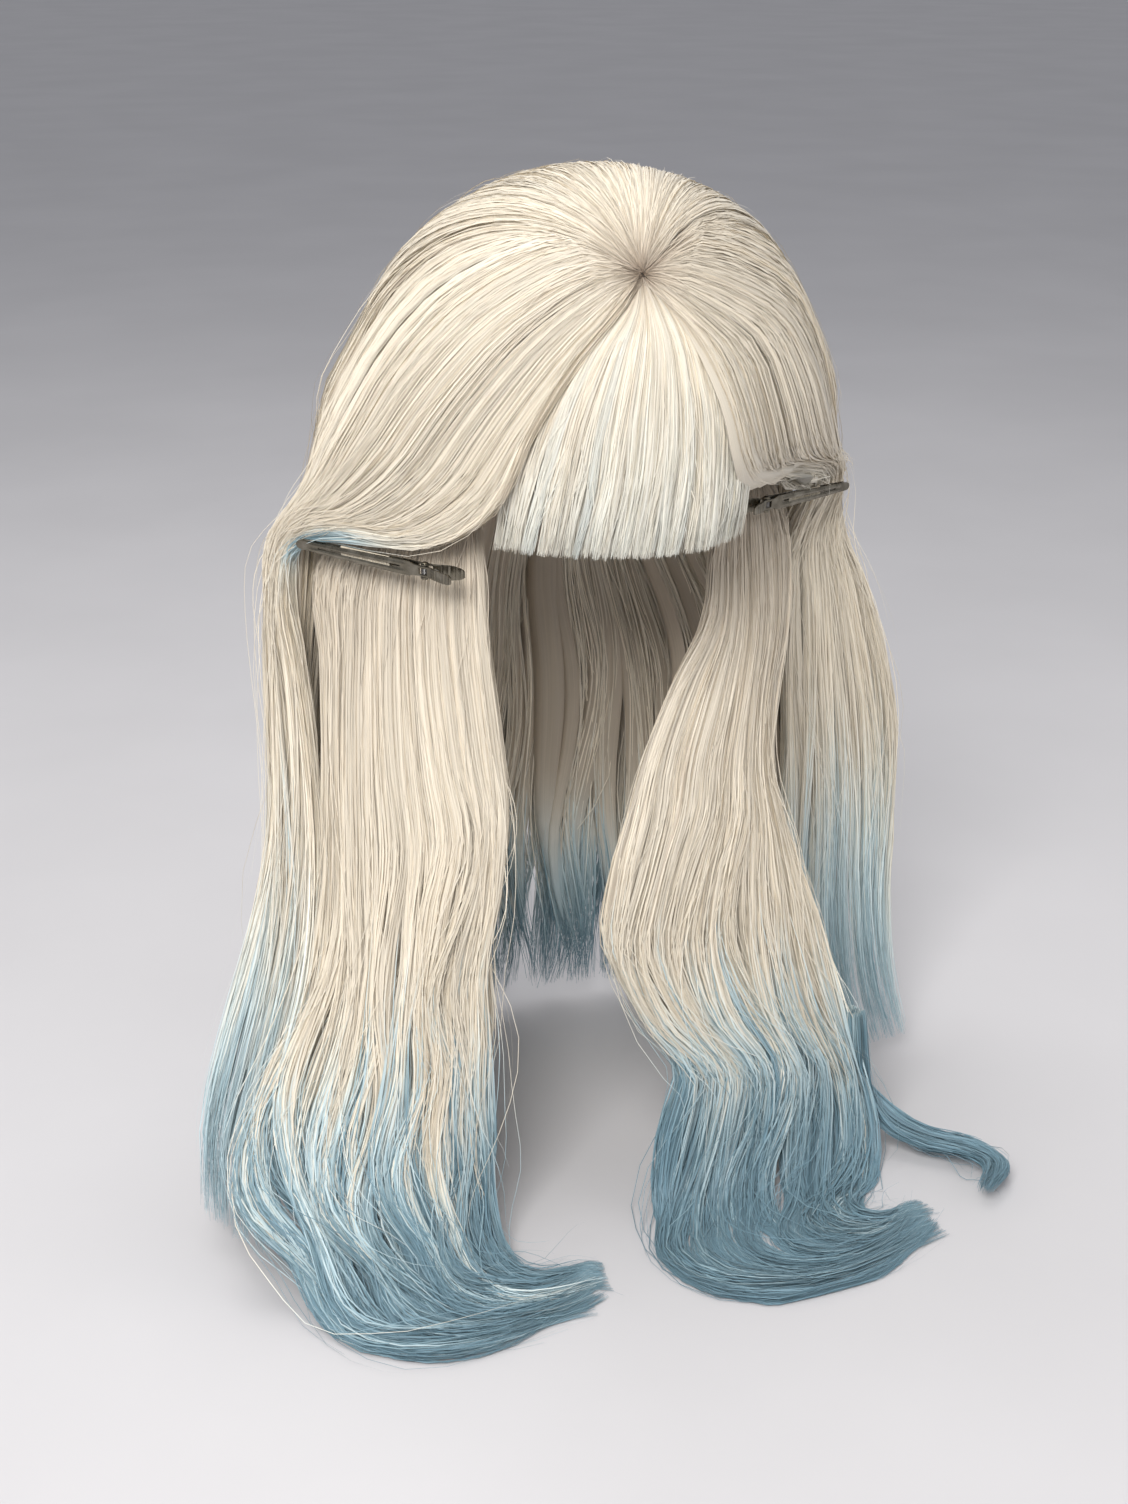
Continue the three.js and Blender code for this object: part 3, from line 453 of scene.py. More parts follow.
def grow(
    strands, sheet, rng, count, samples, clumps,
    a_range=(0.0, 1.0), thick=(8.0, 12.0), clump=(0.1, 0.6, 0.7), wave=(0.0, 0.0), turns=2.0,
    wander=1.2, width=0.45, uneven=0.06, stray=0.03, body=0.62, core_end=0.9, tint_start=-0.285,
    tint_depth=0.135,
    tint_jitter=0.02, root_fade=0.18, front_tint=0.0, drift=0.0, gather=0.28,
    core_shade=0.0, deep_tint=0.0, root_depth=1.0,
):
    """Fills part of a sheet with lock bodies and the strands round them."""
    a0, a1 = a_range
    grid = (np.arange(clumps) + rng.uniform(0.0, 1.0, clumps)) / clumps
    ac = a0 + (a1 - a0) * grid
    size = np.exp(rng.normal(0, 0.45, clumps))
    dc = (rng.permutation(clumps) + rng.uniform(0.2, 0.8, clumps)) / clumps
    phase = rng.random(clumps) * 0.4 + 0.15 * np.sin(ac * 9)
    strength = rng.uniform(0.5, 1.25, clumps)
    sway = rng.normal(0, drift, (2, clumps)) * (a1 - a0)
    sway_phase = rng.random(clumps)

    def centre(ci, t):
        """Where a clump's middle runs: its sway lets neighbours cross."""
        g = smooth(t, 0.15, 0.8)
        turn = np.sin(6.28 * (1.3 * t + sway_phase[ci][:, None]))
        move = sway[0][ci][:, None] * g + sway[1][ci][:, None] * g * turn
        return np.clip(ac[ci][:, None] + move, a0 - 0.002, a1 + 0.002)

    def lines(au, du, ci, tt, loose_size, strayness):
        """Lines from the root to tt, each drawn towards its clump, waved and roughened."""
        s = np.linspace(0, 1, samples)[None, :]
        t = tt[:, None] * s
        k = clump[2] * smooth(t, clump[0], clump[1])
        mid = centre(ci, t)
        off = (au - ac[ci])[:, None]
        a = (ac[ci][:, None] + off) * (1 - k) + (mid + off * gather) * k
        depth = du[:, None] * (1 - k) + (dc[ci][:, None] + (du - dc[ci])[:, None] * gather) * k
        p, n, side = sheet.frame(a, t)
        deep = (thick[0] + (thick[1] - thick[0]) * smooth(t, 0.0, 0.5)) * MM
        p = p - n * (depth * deep)[..., None]
        amp = (wave[0] + (wave[1] - wave[0]) * smooth(t, 0.12, 0.75)) * MM * strength[ci][:, None]
        w = 2 * math.pi * (turns * t + phase[ci][:, None])
        p = p + side * (amp * np.sin(w))[..., None] + n * (0.4 * amp * (np.cos(w * 0.9) - 0.8))[..., None]
        r1, r2, r3, r4 = rng.random((4, len(au), 1))
        loose = loose_size * MM * (0.2 + 0.8 * smooth(t, 0.12, 0.8)) * (1 + strayness[:, None] * 6)
        p = p + side * (loose * np.sin(6.28 * (1.6 * s * (0.6 + r4) + r1) + 2 * r3))[..., None]
        lift = 0.6 * np.sin(6.28 * (2.1 * s + r2) + 3 * r4) + 0.5 * strayness[:, None]
        p = p + n * (loose * lift)[..., None]
        return keep_inside(p), n, t, s

    def tint_of(p, t, a, jitter, depth):
        """How far along the fade each point is, with the cool band at a swept section's front edge."""
        shade = ombre(p[..., 2], jitter + deep_tint * depth, tint_start, tint_depth)
        if front_tint:
            band = np.exp(-(((t - 0.43) / 0.055) ** 2))
            shade = shade + front_tint * band * smooth(-a, -0.32, -0.04)[:, None]
        return np.clip(shade, 0, 1)

    every = np.arange(clumps)
    if body > 0:
        end = core_end * rng.uniform(0.9, 1.0, clumps)
        p, n, t, s = lines(ac, dc, every, end, 0.0, np.zeros(clumps))
        here = np.clip(ac[:, None], 0.02, 0.98) + 0 * t
        spacing = np.linalg.norm(sheet.at(here + 0.02, t) - sheet.at(here - 0.02, t), axis=-1)
        wid = body * size[:, None] * spacing / 0.04 * (a1 - a0) / clumps
        taper = np.sqrt(np.clip((1 - s) / 0.35, 0.004, 1))
        wid = np.minimum(wid, 11 * MM) * np.clip(s / 0.03, 0.3, 1) * taper
        jitter = rng.normal(0, tint_jitter, (clumps, 1))
        # Painted shade: the lock bodies, which lie under the strands, darken toward the root colour from the
        # top down to about 0.24 m below the head's middle, fading out by 0.32 m.
        shaded = core_shade * (1 - smooth(p[..., 2] * -1, 0.24, 0.32))
        # Darker roots; on the front lengths the longer fade is painted shade under the side sections.
        root = np.maximum(root_depth * np.exp(-t / root_fade), shaded)
        tint = tint_of(p, t, ac, jitter, dc[:, None])
        strands.add(p - n * 1.4 * MM, n, wid, tint, root, rng.random(clumps) * 0.6, 6)
    au = a0 + (a1 - a0) * (np.arange(count) + rng.random(count)) / count
    du = rng.random(count)
    near = np.abs(au[:, None] - ac[None]) * clumps / (a1 - a0) / size[None]
    near = near + 0.9 * np.abs(du[:, None] - dc[None]) + 0.35 * rng.random((count, clumps))
    ci = near.argmin(1)
    strayness = (rng.random(count) < stray) * rng.random(count)
    end = 1 - uneven * rng.random(count) ** 1.5 * (1 + 3 * (strayness > 0))
    p, n, t, s = lines(au, du, ci, end, wander, strayness)
    wid = width * MM * rng.uniform(0.65, 1.3, count)[:, None]
    wid = wid * np.clip(s / 0.04, 0.35, 1) * np.clip((1 - s) / 0.2, 0.1, 1) ** 0.7
    wid = wid * np.where(strayness > 0, 0.5, 1.0)[:, None]
    jitter = rng.normal(0, tint_jitter, (count, 1)) + rng.normal(0, tint_jitter, clumps)[ci][:, None]
    roll = rng.normal(0, 0.5, (count, 1, 1))
    side = np.cross(np.gradient(p, axis=1), n)
    side /= np.linalg.norm(side, axis=-1, keepdims=True) + 1e-12
    value = np.clip(0.55 * rng.random(count) + 0.45 * rng.random(clumps)[ci], 0, 1)
    strands.add(
        p, n * np.cos(roll) + side * np.sin(roll), wid, tint_of(p, t, au, jitter, du[:, None]),
        # The strands take the same root darkening, painted shade included.
        root_depth * np.exp(-t / root_fade), value, 2,
    )


# ---- materials -------------------------------------------------------------------------------
def attribute(nt, label):
    """The value of one of the strands' attributes."""
    node = nt.nodes.new("ShaderNodeAttribute")
    node.attribute_name = label
    return node.outputs["Fac"]


def remap(nt, value, low, high, to_low, to_high):
    """A value moved from one range into another."""
    node = nt.nodes.new("ShaderNodeMapRange")
    for key, number in (("From Min", low), ("From Max", high), ("To Min", to_low), ("To Max", to_high)):
        node.inputs[key].default_value = number
    nt.links.new(value, node.inputs["Value"])
    return node.outputs[0]


def compute(nt, kind, a, b):
    """Two values added, multiplied or compared."""
    node = nt.nodes.new("ShaderNodeMath")
    node.operation = kind
    for i, item in enumerate((a, b)):
        if isinstance(item, (int, float)):
            node.inputs[i].default_value = item
        else:
            nt.links.new(item, node.inputs[i])
    return node.outputs[0]


def object_noise(nt, scale, detail=4.0, stretch=(1.0, 1.0, 1.0)):
    """Noise that stays with the piece."""
    coord = nt.nodes.new("ShaderNodeTexCoord")
    mapping = nt.nodes.new("ShaderNodeMapping")
    mapping.inputs["Scale"].default_value = stretch
    nt.links.new(coord.outputs["Object"], mapping.inputs["Vector"])
    noise = nt.nodes.new("ShaderNodeTexNoise")
    noise.inputs["Scale"].default_value = scale
    noise.inputs["Detail"].default_value = detail
    nt.links.new(mapping.outputs[0], noise.inputs["Vector"])
    return noise.outputs["Fac"]


def two_colours(nt, factor, first, second):
    """A mix of two colours."""
    node = nt.nodes.new("ShaderNodeMix")
    node.data_type = "RGBA"
    nt.links.new(factor, node.inputs["Factor"])
    for key, colour in (("A", first), ("B", second)):
        if isinstance(colour, tuple):
            node.inputs[key].default_value = (*colour[:3], 1)
        else:
            nt.links.new(colour, node.inputs[key])
    return node.outputs["Result"]


def raise_bump(nt, bsdf, height, strength, distance):
    """Sets the surface's fine relief."""
    bump = nt.nodes.new("ShaderNodeBump")
    bump.inputs["Strength"].default_value = strength
    bump.inputs["Distance"].default_value = distance
    nt.links.new(height, bump.inputs["Height"])
    nt.links.new(bump.outputs[0], bsdf.inputs["Normal"])


def start_material(name):
    """The named material, and its node tree and shader if it is new."""
    name = "wig_" + name
    mat = bpy.data.materials.get(name)
    if mat:
        return mat, None, None
    mat = bpy.data.materials.new(name)
    mat.use_nodes = True
    return mat, mat.node_tree, mat.node_tree.nodes["Principled BSDF"]


def fade_group(s):
    """Node group: the hair's colour from its place in the fade and its root value, which darkens the roots
    and also paints shade under the side sections and on the lock bodies.
    """
    group = bpy.data.node_groups.get("hair_fade")
    if group:
        return group
    group = bpy.data.node_groups.new("hair_fade", "ShaderNodeTree")
    for label in ("Tint", "Root and shade"):
        group.interface.new_socket(name=label, in_out="INPUT", socket_type="NodeSocketFloat")
    group.interface.new_socket(name="Color", in_out="OUTPUT", socket_type="NodeSocketColor")
    into = group.nodes.new("NodeGroupInput")
    out = group.nodes.new("NodeGroupOutput")
    ramp = group.nodes.new("ShaderNodeValToRGB")
    stops = ((0.0, s.cream), (0.2, s.ivory), (0.48, s.ice), (0.78, s.blue), (1.0, s.deep_blue))
    ramp.color_ramp.elements[0].color = (*stops[0][1], 1)
    ramp.color_ramp.elements[1].position = 1.0
    ramp.color_ramp.elements[1].color = (*stops[-1][1], 1)
    for place, colour in stops[1:-1]:
        ramp.color_ramp.elements.new(place).color = (*colour, 1)
    group.links.new(into.outputs["Tint"], ramp.inputs["Fac"])
    mixed = two_colours(group, into.outputs["Root and shade"], ramp.outputs["Color"], tuple(s.root))
    group.links.new(mixed, out.inputs["Color"])
    return group


def fibre_material(s):
    """Satin synthetic hair: its fade, fine streaks along each fibre and a value of its own per strand."""
    mat, nt, bsdf = start_material("hair_fibre")
    if nt is None:
        return mat
    fade = nt.nodes.new("ShaderNodeGroup")
    fade.node_tree = fade_group(s)
    nt.links.new(attribute(nt, "tint"), fade.inputs["Tint"])
    nt.links.new(attribute(nt, "root"), fade.inputs["Root and shade"])
    comb = nt.nodes.new("ShaderNodeCombineXYZ")
    nt.links.new(attribute(nt, "across"), comb.inputs["X"])
    nt.links.new(attribute(nt, "along"), comb.inputs["Y"])
    mapping = nt.nodes.new("ShaderNodeMapping")
    mapping.inputs["Scale"].default_value = (14.0, 1.6, 1.0)
    nt.links.new(comb.outputs[0], mapping.inputs["Vector"])
    noise = nt.nodes.new("ShaderNodeTexNoise")
    noise.inputs["Scale"].default_value = 3.0
    noise.inputs["Detail"].default_value = 3.0
    nt.links.new(mapping.outputs[0], noise.inputs["Vector"])
    streak = remap(nt, noise.outputs["Fac"], 0.3, 0.7, 0.90, 1.06)
    vary = remap(nt, attribute(nt, "strand"), 0.0, 1.0, s.darkest, 1.12)
    shade = nt.nodes.new("ShaderNodeVectorMath")
    shade.operation = "SCALE"
    nt.links.new(fade.outputs["Color"], shade.inputs[0])
    nt.links.new(compute(nt, "MULTIPLY", streak, vary), shade.inputs["Scale"])
    nt.links.new(shade.outputs[0], bsdf.inputs["Base Color"])
    nt.links.new(remap(nt, noise.outputs["Fac"], 0.0, 1.0, 0.32, 0.52), bsdf.inputs["Roughness"])
    bsdf.inputs["Specular IOR Level"].default_value = 0.45
    bsdf.inputs["Sheen Weight"].default_value = 0.15
    bsdf.inputs["Sheen Roughness"].default_value = 0.4
    raise_bump(nt, bsdf, noise.outputs["Fac"], 0.25, 0.0004)
    return mat


def weave_material(name, colour, shade_and_stain, pitch, slant=0.0, rough=0.85, depth=0.0003):
    """Cloth whose threads cross at a pitch in metres, along the piece's own map; its second colour is painted
    shade between the threads and in the net's openings, and also tints random stains.
    """
    mat, nt, bsdf = start_material(name)
    if nt is None:
        return mat
    uv = nt.nodes.new("ShaderNodeUVMap")
    uv.uv_map = "Weave"
    turn = nt.nodes.new("ShaderNodeMapping")
    turn.inputs["Rotation"].default_value = (0, 0, slant)
    turn.inputs["Scale"].default_value = (1 / pitch, 1 / pitch, 1)
    nt.links.new(uv.outputs[0], turn.inputs["Vector"])
    split = nt.nodes.new("ShaderNodeSeparateXYZ")
    nt.links.new(turn.outputs[0], split.inputs[0])
    waves = []
    for axis in ("X", "Y"):
        wave = compute(nt, "SINE", compute(nt, "MULTIPLY", split.outputs[axis], 2 * math.pi), 0.0)
        waves.append(compute(nt, "ABSOLUTE", wave, 0.0))
    threads = compute(nt, "MAXIMUM", waves[0], waves[1])
    fuzz = object_noise(nt, 900.0, 3.0)
    height = compute(nt, "MULTIPLY", threads, remap(nt, fuzz, 0.3, 0.7, 0.8, 1.1))
    # Painted shade: where the threads sink, between them and in the net's openings, the colour goes to the
    # dark colour.
    mixed = two_colours(nt, remap(nt, height, 0.35, 0.9, 0.0, 1.0), shade_and_stain, colour)
    stain = object_noise(nt, 40.0)
    base = two_colours(nt, remap(nt, stain, 0.35, 0.7, 0.0, 0.35), mixed, shade_and_stain)
    nt.links.new(base, bsdf.inputs["Base Color"])
    nt.links.new(remap(nt, fuzz, 0.2, 0.8, rough - 0.08, min(1.0, rough + 0.1)), bsdf.inputs["Roughness"])
    bsdf.inputs["Sheen Weight"].default_value = 0.2
    raise_bump(nt, bsdf, height, 0.8, depth)
    return mat


def thread_material(name, colour):
    """Sewing thread: twisted, slightly fuzzy."""
    mat, nt, bsdf = start_material(name)
    if nt is None:
        return mat
    twist = object_noise(nt, 2200.0, 2.0)
    darker = tuple(c * 0.62 for c in colour[:3])
    base = two_colours(nt, remap(nt, twist, 0.35, 0.65, 0.0, 1.0), darker, colour)
    nt.links.new(base, bsdf.inputs["Base Color"])
    nt.links.new(remap(nt, twist, 0.2, 0.8, 0.55, 0.8), bsdf.inputs["Roughness"])
    raise_bump(nt, bsdf, twist, 0.5, 0.0001)
    return mat


def skin_material(s):
    """The thin parting patch, with fine pore relief and faint blotches."""
    mat, nt, bsdf = start_material("parting_skin")
    if nt is None:
        return mat
    pores = object_noise(nt, 1400.0, 2.0)
    blotch = object_noise(nt, 90.0, 4.0)
    warm = tuple(c * f for c, f in zip(s.skin, (0.92, 0.8, 0.7)))
    base = two_colours(nt, remap(nt, blotch, 0.35, 0.7, 0.0, 0.6), tuple(s.skin), warm)
    nt.links.new(base, bsdf.inputs["Base Color"])
    nt.links.new(remap(nt, pores, 0.2, 0.8, 0.45, 0.65), bsdf.inputs["Roughness"])
    bsdf.inputs["Subsurface Weight"].default_value = 0.1
    bsdf.inputs["Subsurface Scale"].default_value = 0.002
    raise_bump(nt, bsdf, pores, 0.4, 0.0001)
    return mat


def metal_material(name, colour, wear_and_highlight, rough):
    """Plated sheet steel with fine brushing and noise spots of a second colour: darker handled wear, and on
    the clips brighter spots that are painted highlight.
    """
    mat, nt, bsdf = start_material(name)
    if nt is None:
        return mat
    fine = object_noise(nt, 900.0, 3.0)
    spots = object_noise(nt, 160.0, 5.0)
    # Noise spots take the second colour: wear where it is darker, painted highlight where it is brighter.
    base = two_colours(nt, remap(nt, spots, 0.45, 0.7, 0.0, 0.7), tuple(colour), tuple(wear_and_highlight))
    nt.links.new(base, bsdf.inputs["Base Color"])
    brushed = remap(nt, fine, 0.3, 0.7, rough - 0.06, rough + 0.1)
    total = compute(nt, "ADD", brushed, remap(nt, spots, 0.4, 0.8, 0.0, 0.14))
    nt.links.new(total, bsdf.inputs["Roughness"])
    bsdf.inputs["Metallic"].default_value = 1.0
    raise_bump(nt, bsdf, fine, 0.18, 0.0001)
    return mat


def plastic_material(s):
    """Moulded hook plastic."""
    mat, nt, bsdf = start_material("hook_plastic")
    if nt is None:
        return mat
    grain = object_noise(nt, 700.0, 3.0)
    tone = object_noise(nt, 120.0, 2.0)
    darker = tuple(c * 0.85 for c in s.hook)
    base = two_colours(nt, remap(nt, tone, 0.35, 0.7, 0.0, 1.0), tuple(s.hook), darker)
    nt.links.new(base, bsdf.inputs["Base Color"])
    nt.links.new(remap(nt, grain, 0.2, 0.8, 0.32, 0.48), bsdf.inputs["Roughness"])
    raise_bump(nt, bsdf, grain, 0.2, 0.0001)
    return mat


def floor_material(s):
    """Pale matt floor."""
    mat, nt, bsdf = start_material("floor")
    if nt is None:
        return mat
    tone = object_noise(nt, 3.0, 4.0)
    paler = tuple(min(1.0, c * 1.06) for c in s.floor)
    base = two_colours(nt, remap(nt, tone, 0.35, 0.7, 0.0, 1.0), tuple(s.floor), paler)
    nt.links.new(base, bsdf.inputs["Base Color"])
    bsdf.inputs["Roughness"].default_value = 0.85
    return mat


# ---- mesh helpers ----------------------------------------------------------------------------
def finish_mesh(ob, name, material, modifiers=(), smooth_angle=35):
    """Applies the modifiers and gives the piece its name, finish and smoothing."""
    ob.name = name
    ob.data.name = name
    bpy.ops.object.select_all(action="DESELECT")
    ob.select_set(True)
    bpy.context.view_layer.objects.active = ob
    for kind, settings in modifiers:
        mod = ob.modifiers.new(kind.lower(), kind)
        for key, value in settings.items():
            setattr(mod, key, value)
        bpy.ops.object.modifier_apply(modifier=mod.name)
    ob.data.materials.clear()
    ob.data.materials.append(material)
    bpy.ops.object.shade_smooth_by_angle(angle=math.radians(smooth_angle))
    return ob


def sheet_grid(nu, nv, place):
    """A grid of nu by nv faces laid by place(u, v), with a map in metres for its weave."""
    bpy.ops.object.select_all(action="DESELECT")
    bpy.ops.mesh.primitive_grid_add(x_subdivisions=nu, y_subdivisions=nv, size=2, location=(0, 0, 0))
    ob = bpy.context.object
    me = ob.data
    co = np.empty(len(me.vertices) * 3)
    me.vertices.foreach_get("co", co)
    uv = (co.reshape(-1, 3)[:, :2] + 1) / 2
    points = place(uv[:, 0], uv[:, 1])
    me.vertices.foreach_set("co", points.astype(np.float32).ravel())
    mid = np.full(32, 0.5)
    ramp = np.linspace(0, 1, 32)
    wide = np.linalg.norm(np.diff(place(ramp, mid), axis=0), axis=1).sum()
    high = np.linalg.norm(np.diff(place(mid, ramp), axis=0), axis=1).sum()
    loops = np.empty(len(me.loops), np.int32)
    me.loops.foreach_get("vertex_index", loops)
    weave = me.uv_layers.new(name="Weave")
    weave.data.foreach_set("uv", (uv[loops] * (wide, high)).astype(np.float32).ravel())
    me.update()
    return ob


def tube(name, lines, radius, material, resolution=3):
    """Round threads or wires through lists of points, as one mesh."""
    data = bpy.data.curves.new(name, "CURVE")
    data.dimensions = "3D"
    data.bevel_depth = radius
    data.bevel_resolution = resolution
    data.use_fill_caps = True
    for line in lines:
        spline = data.splines.new("POLY")
        spline.points.add(len(line) - 1)
        spline.points.foreach_set("co", np.hstack([line, np.ones((len(line), 1))]).astype(np.float32).ravel())
    ob = bpy.data.objects.new(name, data)
    bpy.context.scene.collection.objects.link(ob)
    bpy.ops.object.select_all(action="DESELECT")
    ob.select_set(True)
    bpy.context.view_layer.objects.active = ob
    bpy.ops.object.convert(target="MESH")
    return finish_mesh(bpy.context.object, name, material, smooth_angle=60)


def join(objects, name):
    """Several meshes made into one piece."""
    bpy.ops.object.select_all(action="DESELECT")
    for ob in objects:
        ob.select_set(True)
    bpy.context.view_layer.objects.active = objects[0]
    if len(objects) > 1:
        bpy.ops.object.join()
    ob = bpy.context.object
    ob.name = name
    ob.data.name = name
    return ob


def primitive(add, name, material, modifiers=(), scale=(1, 1, 1), smooth_angle=35, **shape):
    """One of Blender's own solids, placed, stretched and finished."""
    bpy.ops.object.select_all(action="DESELECT")
    add(**shape)
    ob = bpy.context.object
    ob.scale = scale
    bpy.ops.object.transform_apply(location=True, rotation=True, scale=True)
    return finish_mesh(ob, name, material, modifiers, smooth_angle)


def solid(thickness, edge=0.0, segments=2):
    """The modifiers that give a sheet its thickness and, if edge isn't 0, rounded edges."""
    stack = [("SOLIDIFY", {"thickness": thickness, "offset": 0.0})]
    if edge:
        stack.append(("BEVEL", {"width": edge, "segments": segments, "limit_method": "ANGLE"}))
    return stack


# ---- settings --------------------------------------------------------------------------------
def amount(name, description, default, low, high, **more):
    return bpy.props.FloatProperty(
        name=name, description=description, default=default, min=low, max=high, **more
    )


def colour(name, description, default):
    return bpy.props.FloatVectorProperty(
        name=name, description=description, subtype="COLOR", default=default, min=0, max=1
    )


class WigHairSettings(bpy.types.PropertyGroup):
    """Sizes and colours of the hair."""

    density: amount("Density", "Share of the full number of strands", 1.0, 0.05, 2.0, subtype="FACTOR")
    strand_width: amount("Strand half width", "Half width of a visible strand in millimetres", 0.36, 0.1, 1.5)
    darkest: amount("Darkest strand", "Brightness of the darkest strands beside the mean", 0.74, 0.3, 1.0)
    cream: colour("Cream", "Colour of the upper hair", (0.86, 0.77, 0.62))
    # Colour of the darker roots, also used as painted shade at the top of the front lengths and on the upper
    # lock bodies.
    root: colour("Root and shade", "Colour at the roots", (0.36, 0.26, 0.18))
    ivory: colour("Ivory", "Colour half way down", (0.86, 0.84, 0.74))
    ice: colour("Ice", "First blue of the fade", (0.60, 0.73, 0.75))
    blue: colour("Blue", "Blue of the tips", (0.29, 0.43, 0.48))
    deep_blue: colour("Deep blue", "Darkest blue of the tips", (0.19, 0.31, 0.37))


class WigCapSettings(bpy.types.PropertyGroup):
    """Sizes and colours of the cap."""

    net_thickness: amount("Net thickness", "Thickness of the net cloth", 0.0005, 0.0002, 0.001, unit="LENGTH")
    net_pitch: amount("Net pitch", "Distance between the net's threads", 0.0022, 0.0005, 0.01, unit="LENGTH")
    ribbon_pitch: amount(
        "Ribbon pitch", "Distance between a ribbon's threads", 0.0008, 0.0002, 0.01, unit="LENGTH"
    )
    stitch_radius: amount(
        "Thread radius", "Radius of the sewing thread", 0.00022, 0.0001, 0.001, unit="LENGTH"
    )
    net: colour("Net", "Colour of the net's threads", (0.70, 0.56, 0.38))
    # Painted shade in the net's openings; the same colour tints its random stains.
    net_shade_and_stain: colour("Net gaps", "Colour in the net's openings", (0.36, 0.27, 0.17))
    ribbon: colour("Ribbon", "Colour of the sewn bands", (0.62, 0.47, 0.26))
    # Painted shade between the ribbon's threads; the same colour tints its random stains.
    ribbon_shade_and_stain: colour("Ribbon gaps", "Colour between the bands' threads", (0.36, 0.25, 0.12))
    skin: colour("Parting skin", "Colour of the parting patch", (0.80, 0.60, 0.44))
    hook: colour("Hooks", "Colour of the plastic hooks", (0.70, 0.66, 0.58))


class WigClipSettings(bpy.types.PropertyGroup):
    """Sizes and colours of the duckbill clips."""

    blade: amount("Blade length", "Pivot to nose", 0.080, 0.03, 0.15, unit="LENGTH")
    lever: amount("Lever length", "Pivot to lever end", 0.020, 0.01, 0.05, unit="LENGTH")
    width: amount("Width", "Width of the jaws", 0.0075, 0.004, 0.02, unit="LENGTH")
    nose_width: amount("Nose width", "Width just behind the nose", 0.0046, 0.002, 0.01, unit="LENGTH")
    sheet: amount("Sheet thickness", "Thickness of the steel", 0.0009, 0.0004, 0.002, unit="LENGTH")
    gap: amount("Jaw gap", "Distance between the closed jaws", 0.0019, 0.001, 0.004, unit="LENGTH")
    steel: colour("Steel", "Colour of the plated jaws", (0.19, 0.17, 0.13))
    # Brighter than the steel: its spots are painted highlight as well as handled wear.
    wear_and_highlight: colour("Worn steel", "Colour where the plating is handled", (0.36, 0.33, 0.27))
    spring: colour("Spring", "Colour of the spring wire", (0.26, 0.25, 0.24))


class WigStageSettings(bpy.types.PropertyGroup):
    """Floor, light and camera."""

    floor: colour("Floor", "Colour of the floor", (0.62, 0.60, 0.60))
    key: amount("Key light", "Power of the front left light in watts", 46.0, 0, 200)
    fill: amount("Fill light", "Power of the front right light in watts", 5.0, 0, 200)
    top: amount("Top light", "Power of the light above in watts", 14.0, 0, 200)
    sky: amount("Sky", "Strength of the even light", 0.6, 0, 4)
    lens: amount("Lens", "Focal length in millimetres", 52.0, 20, 200)


def strands_piece(name, sheet, seed, count, samples, clumps, **kw):
    """Grows one piece of hair and gives it the fibre finish."""
    s = bpy.context.scene.wig_hair
    strands = Strands()
    grow(
        strands, sheet, np.random.default_rng(seed), max(8, int(count * s.density)), samples, clumps,
        width=s.strand_width, **kw,
    )
    mesh = strands.mesh(name)
    mesh.materials.append(fibre_material(s))
    ob = bpy.data.objects.new(name, mesh)
    bpy.context.scene.collection.objects.link(ob)
    return ob


# ---- hair pieces -----------------------------------------------------------------------------
class WIG_OT_fringe(bpy.types.Operator):
    """Adds the straight fringe"""

    bl_idname = "wig.fringe"
    bl_label = "Fringe"

    def execute(self, context):
        ob = strands_piece(
            "hair_fringe", Sheet(FRINGE, -1), 11, 3600, 18, 34, thick=(2.0, 6.0),
            clump=(0.3, 1.0, 0.38), wander=0.8, uneven=0.06, stray=0.03, core_end=0.86, body=0.55,
            tint_start=0.06,
            tint_depth=0.62, root_fade=0.085, drift=0.008,
        )
        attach(ob, "cap")
        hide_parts("fringe_right", "fringe_centre", "fringe_left")
        return {"FINISHED"}


class WIG_OT_side_sections(bpy.types.Operator):
    """Adds the swept-back side sections and their tails"""

    bl_idname = "wig.side_sections"
    bl_label = "Side sections"

    def execute(self, context):
        for tag, wing, tail, across, outward, seed, icy, spreads in (
            ("R", WING_R, TAIL_R, (-0.35, 0.94), 1, 21, 0.9, (7, 12, 16, 20, 24, 26, 28, 28)),
            ("L", WING_L, TAIL_L, (0.99, 0.10), -1, 22, 0.1, (19, 29, 39, 43, 44, 43, 42, 40)),
        ):
            sheet = Sheet(with_tail(wing, tail, across, spreads), outward)
            ob = strands_piece(
                "hair_side_section_" + tag, sheet, seed, 2500, 32, 30, thick=(3.0, 9.0),
                clump=(0.15, 0.9, 0.5), wave=(0.0, 5.0), wander=1.9, uneven=0.22, stray=0.08, root_fade=0.035,
                front_tint=icy, tint_start=-0.22, tint_depth=0.26, drift=0.05, body=0.4,
            )
            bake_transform(ob)
            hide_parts("wing_" + tag, "side_tail_" + tag)
        return {"FINISHED"}


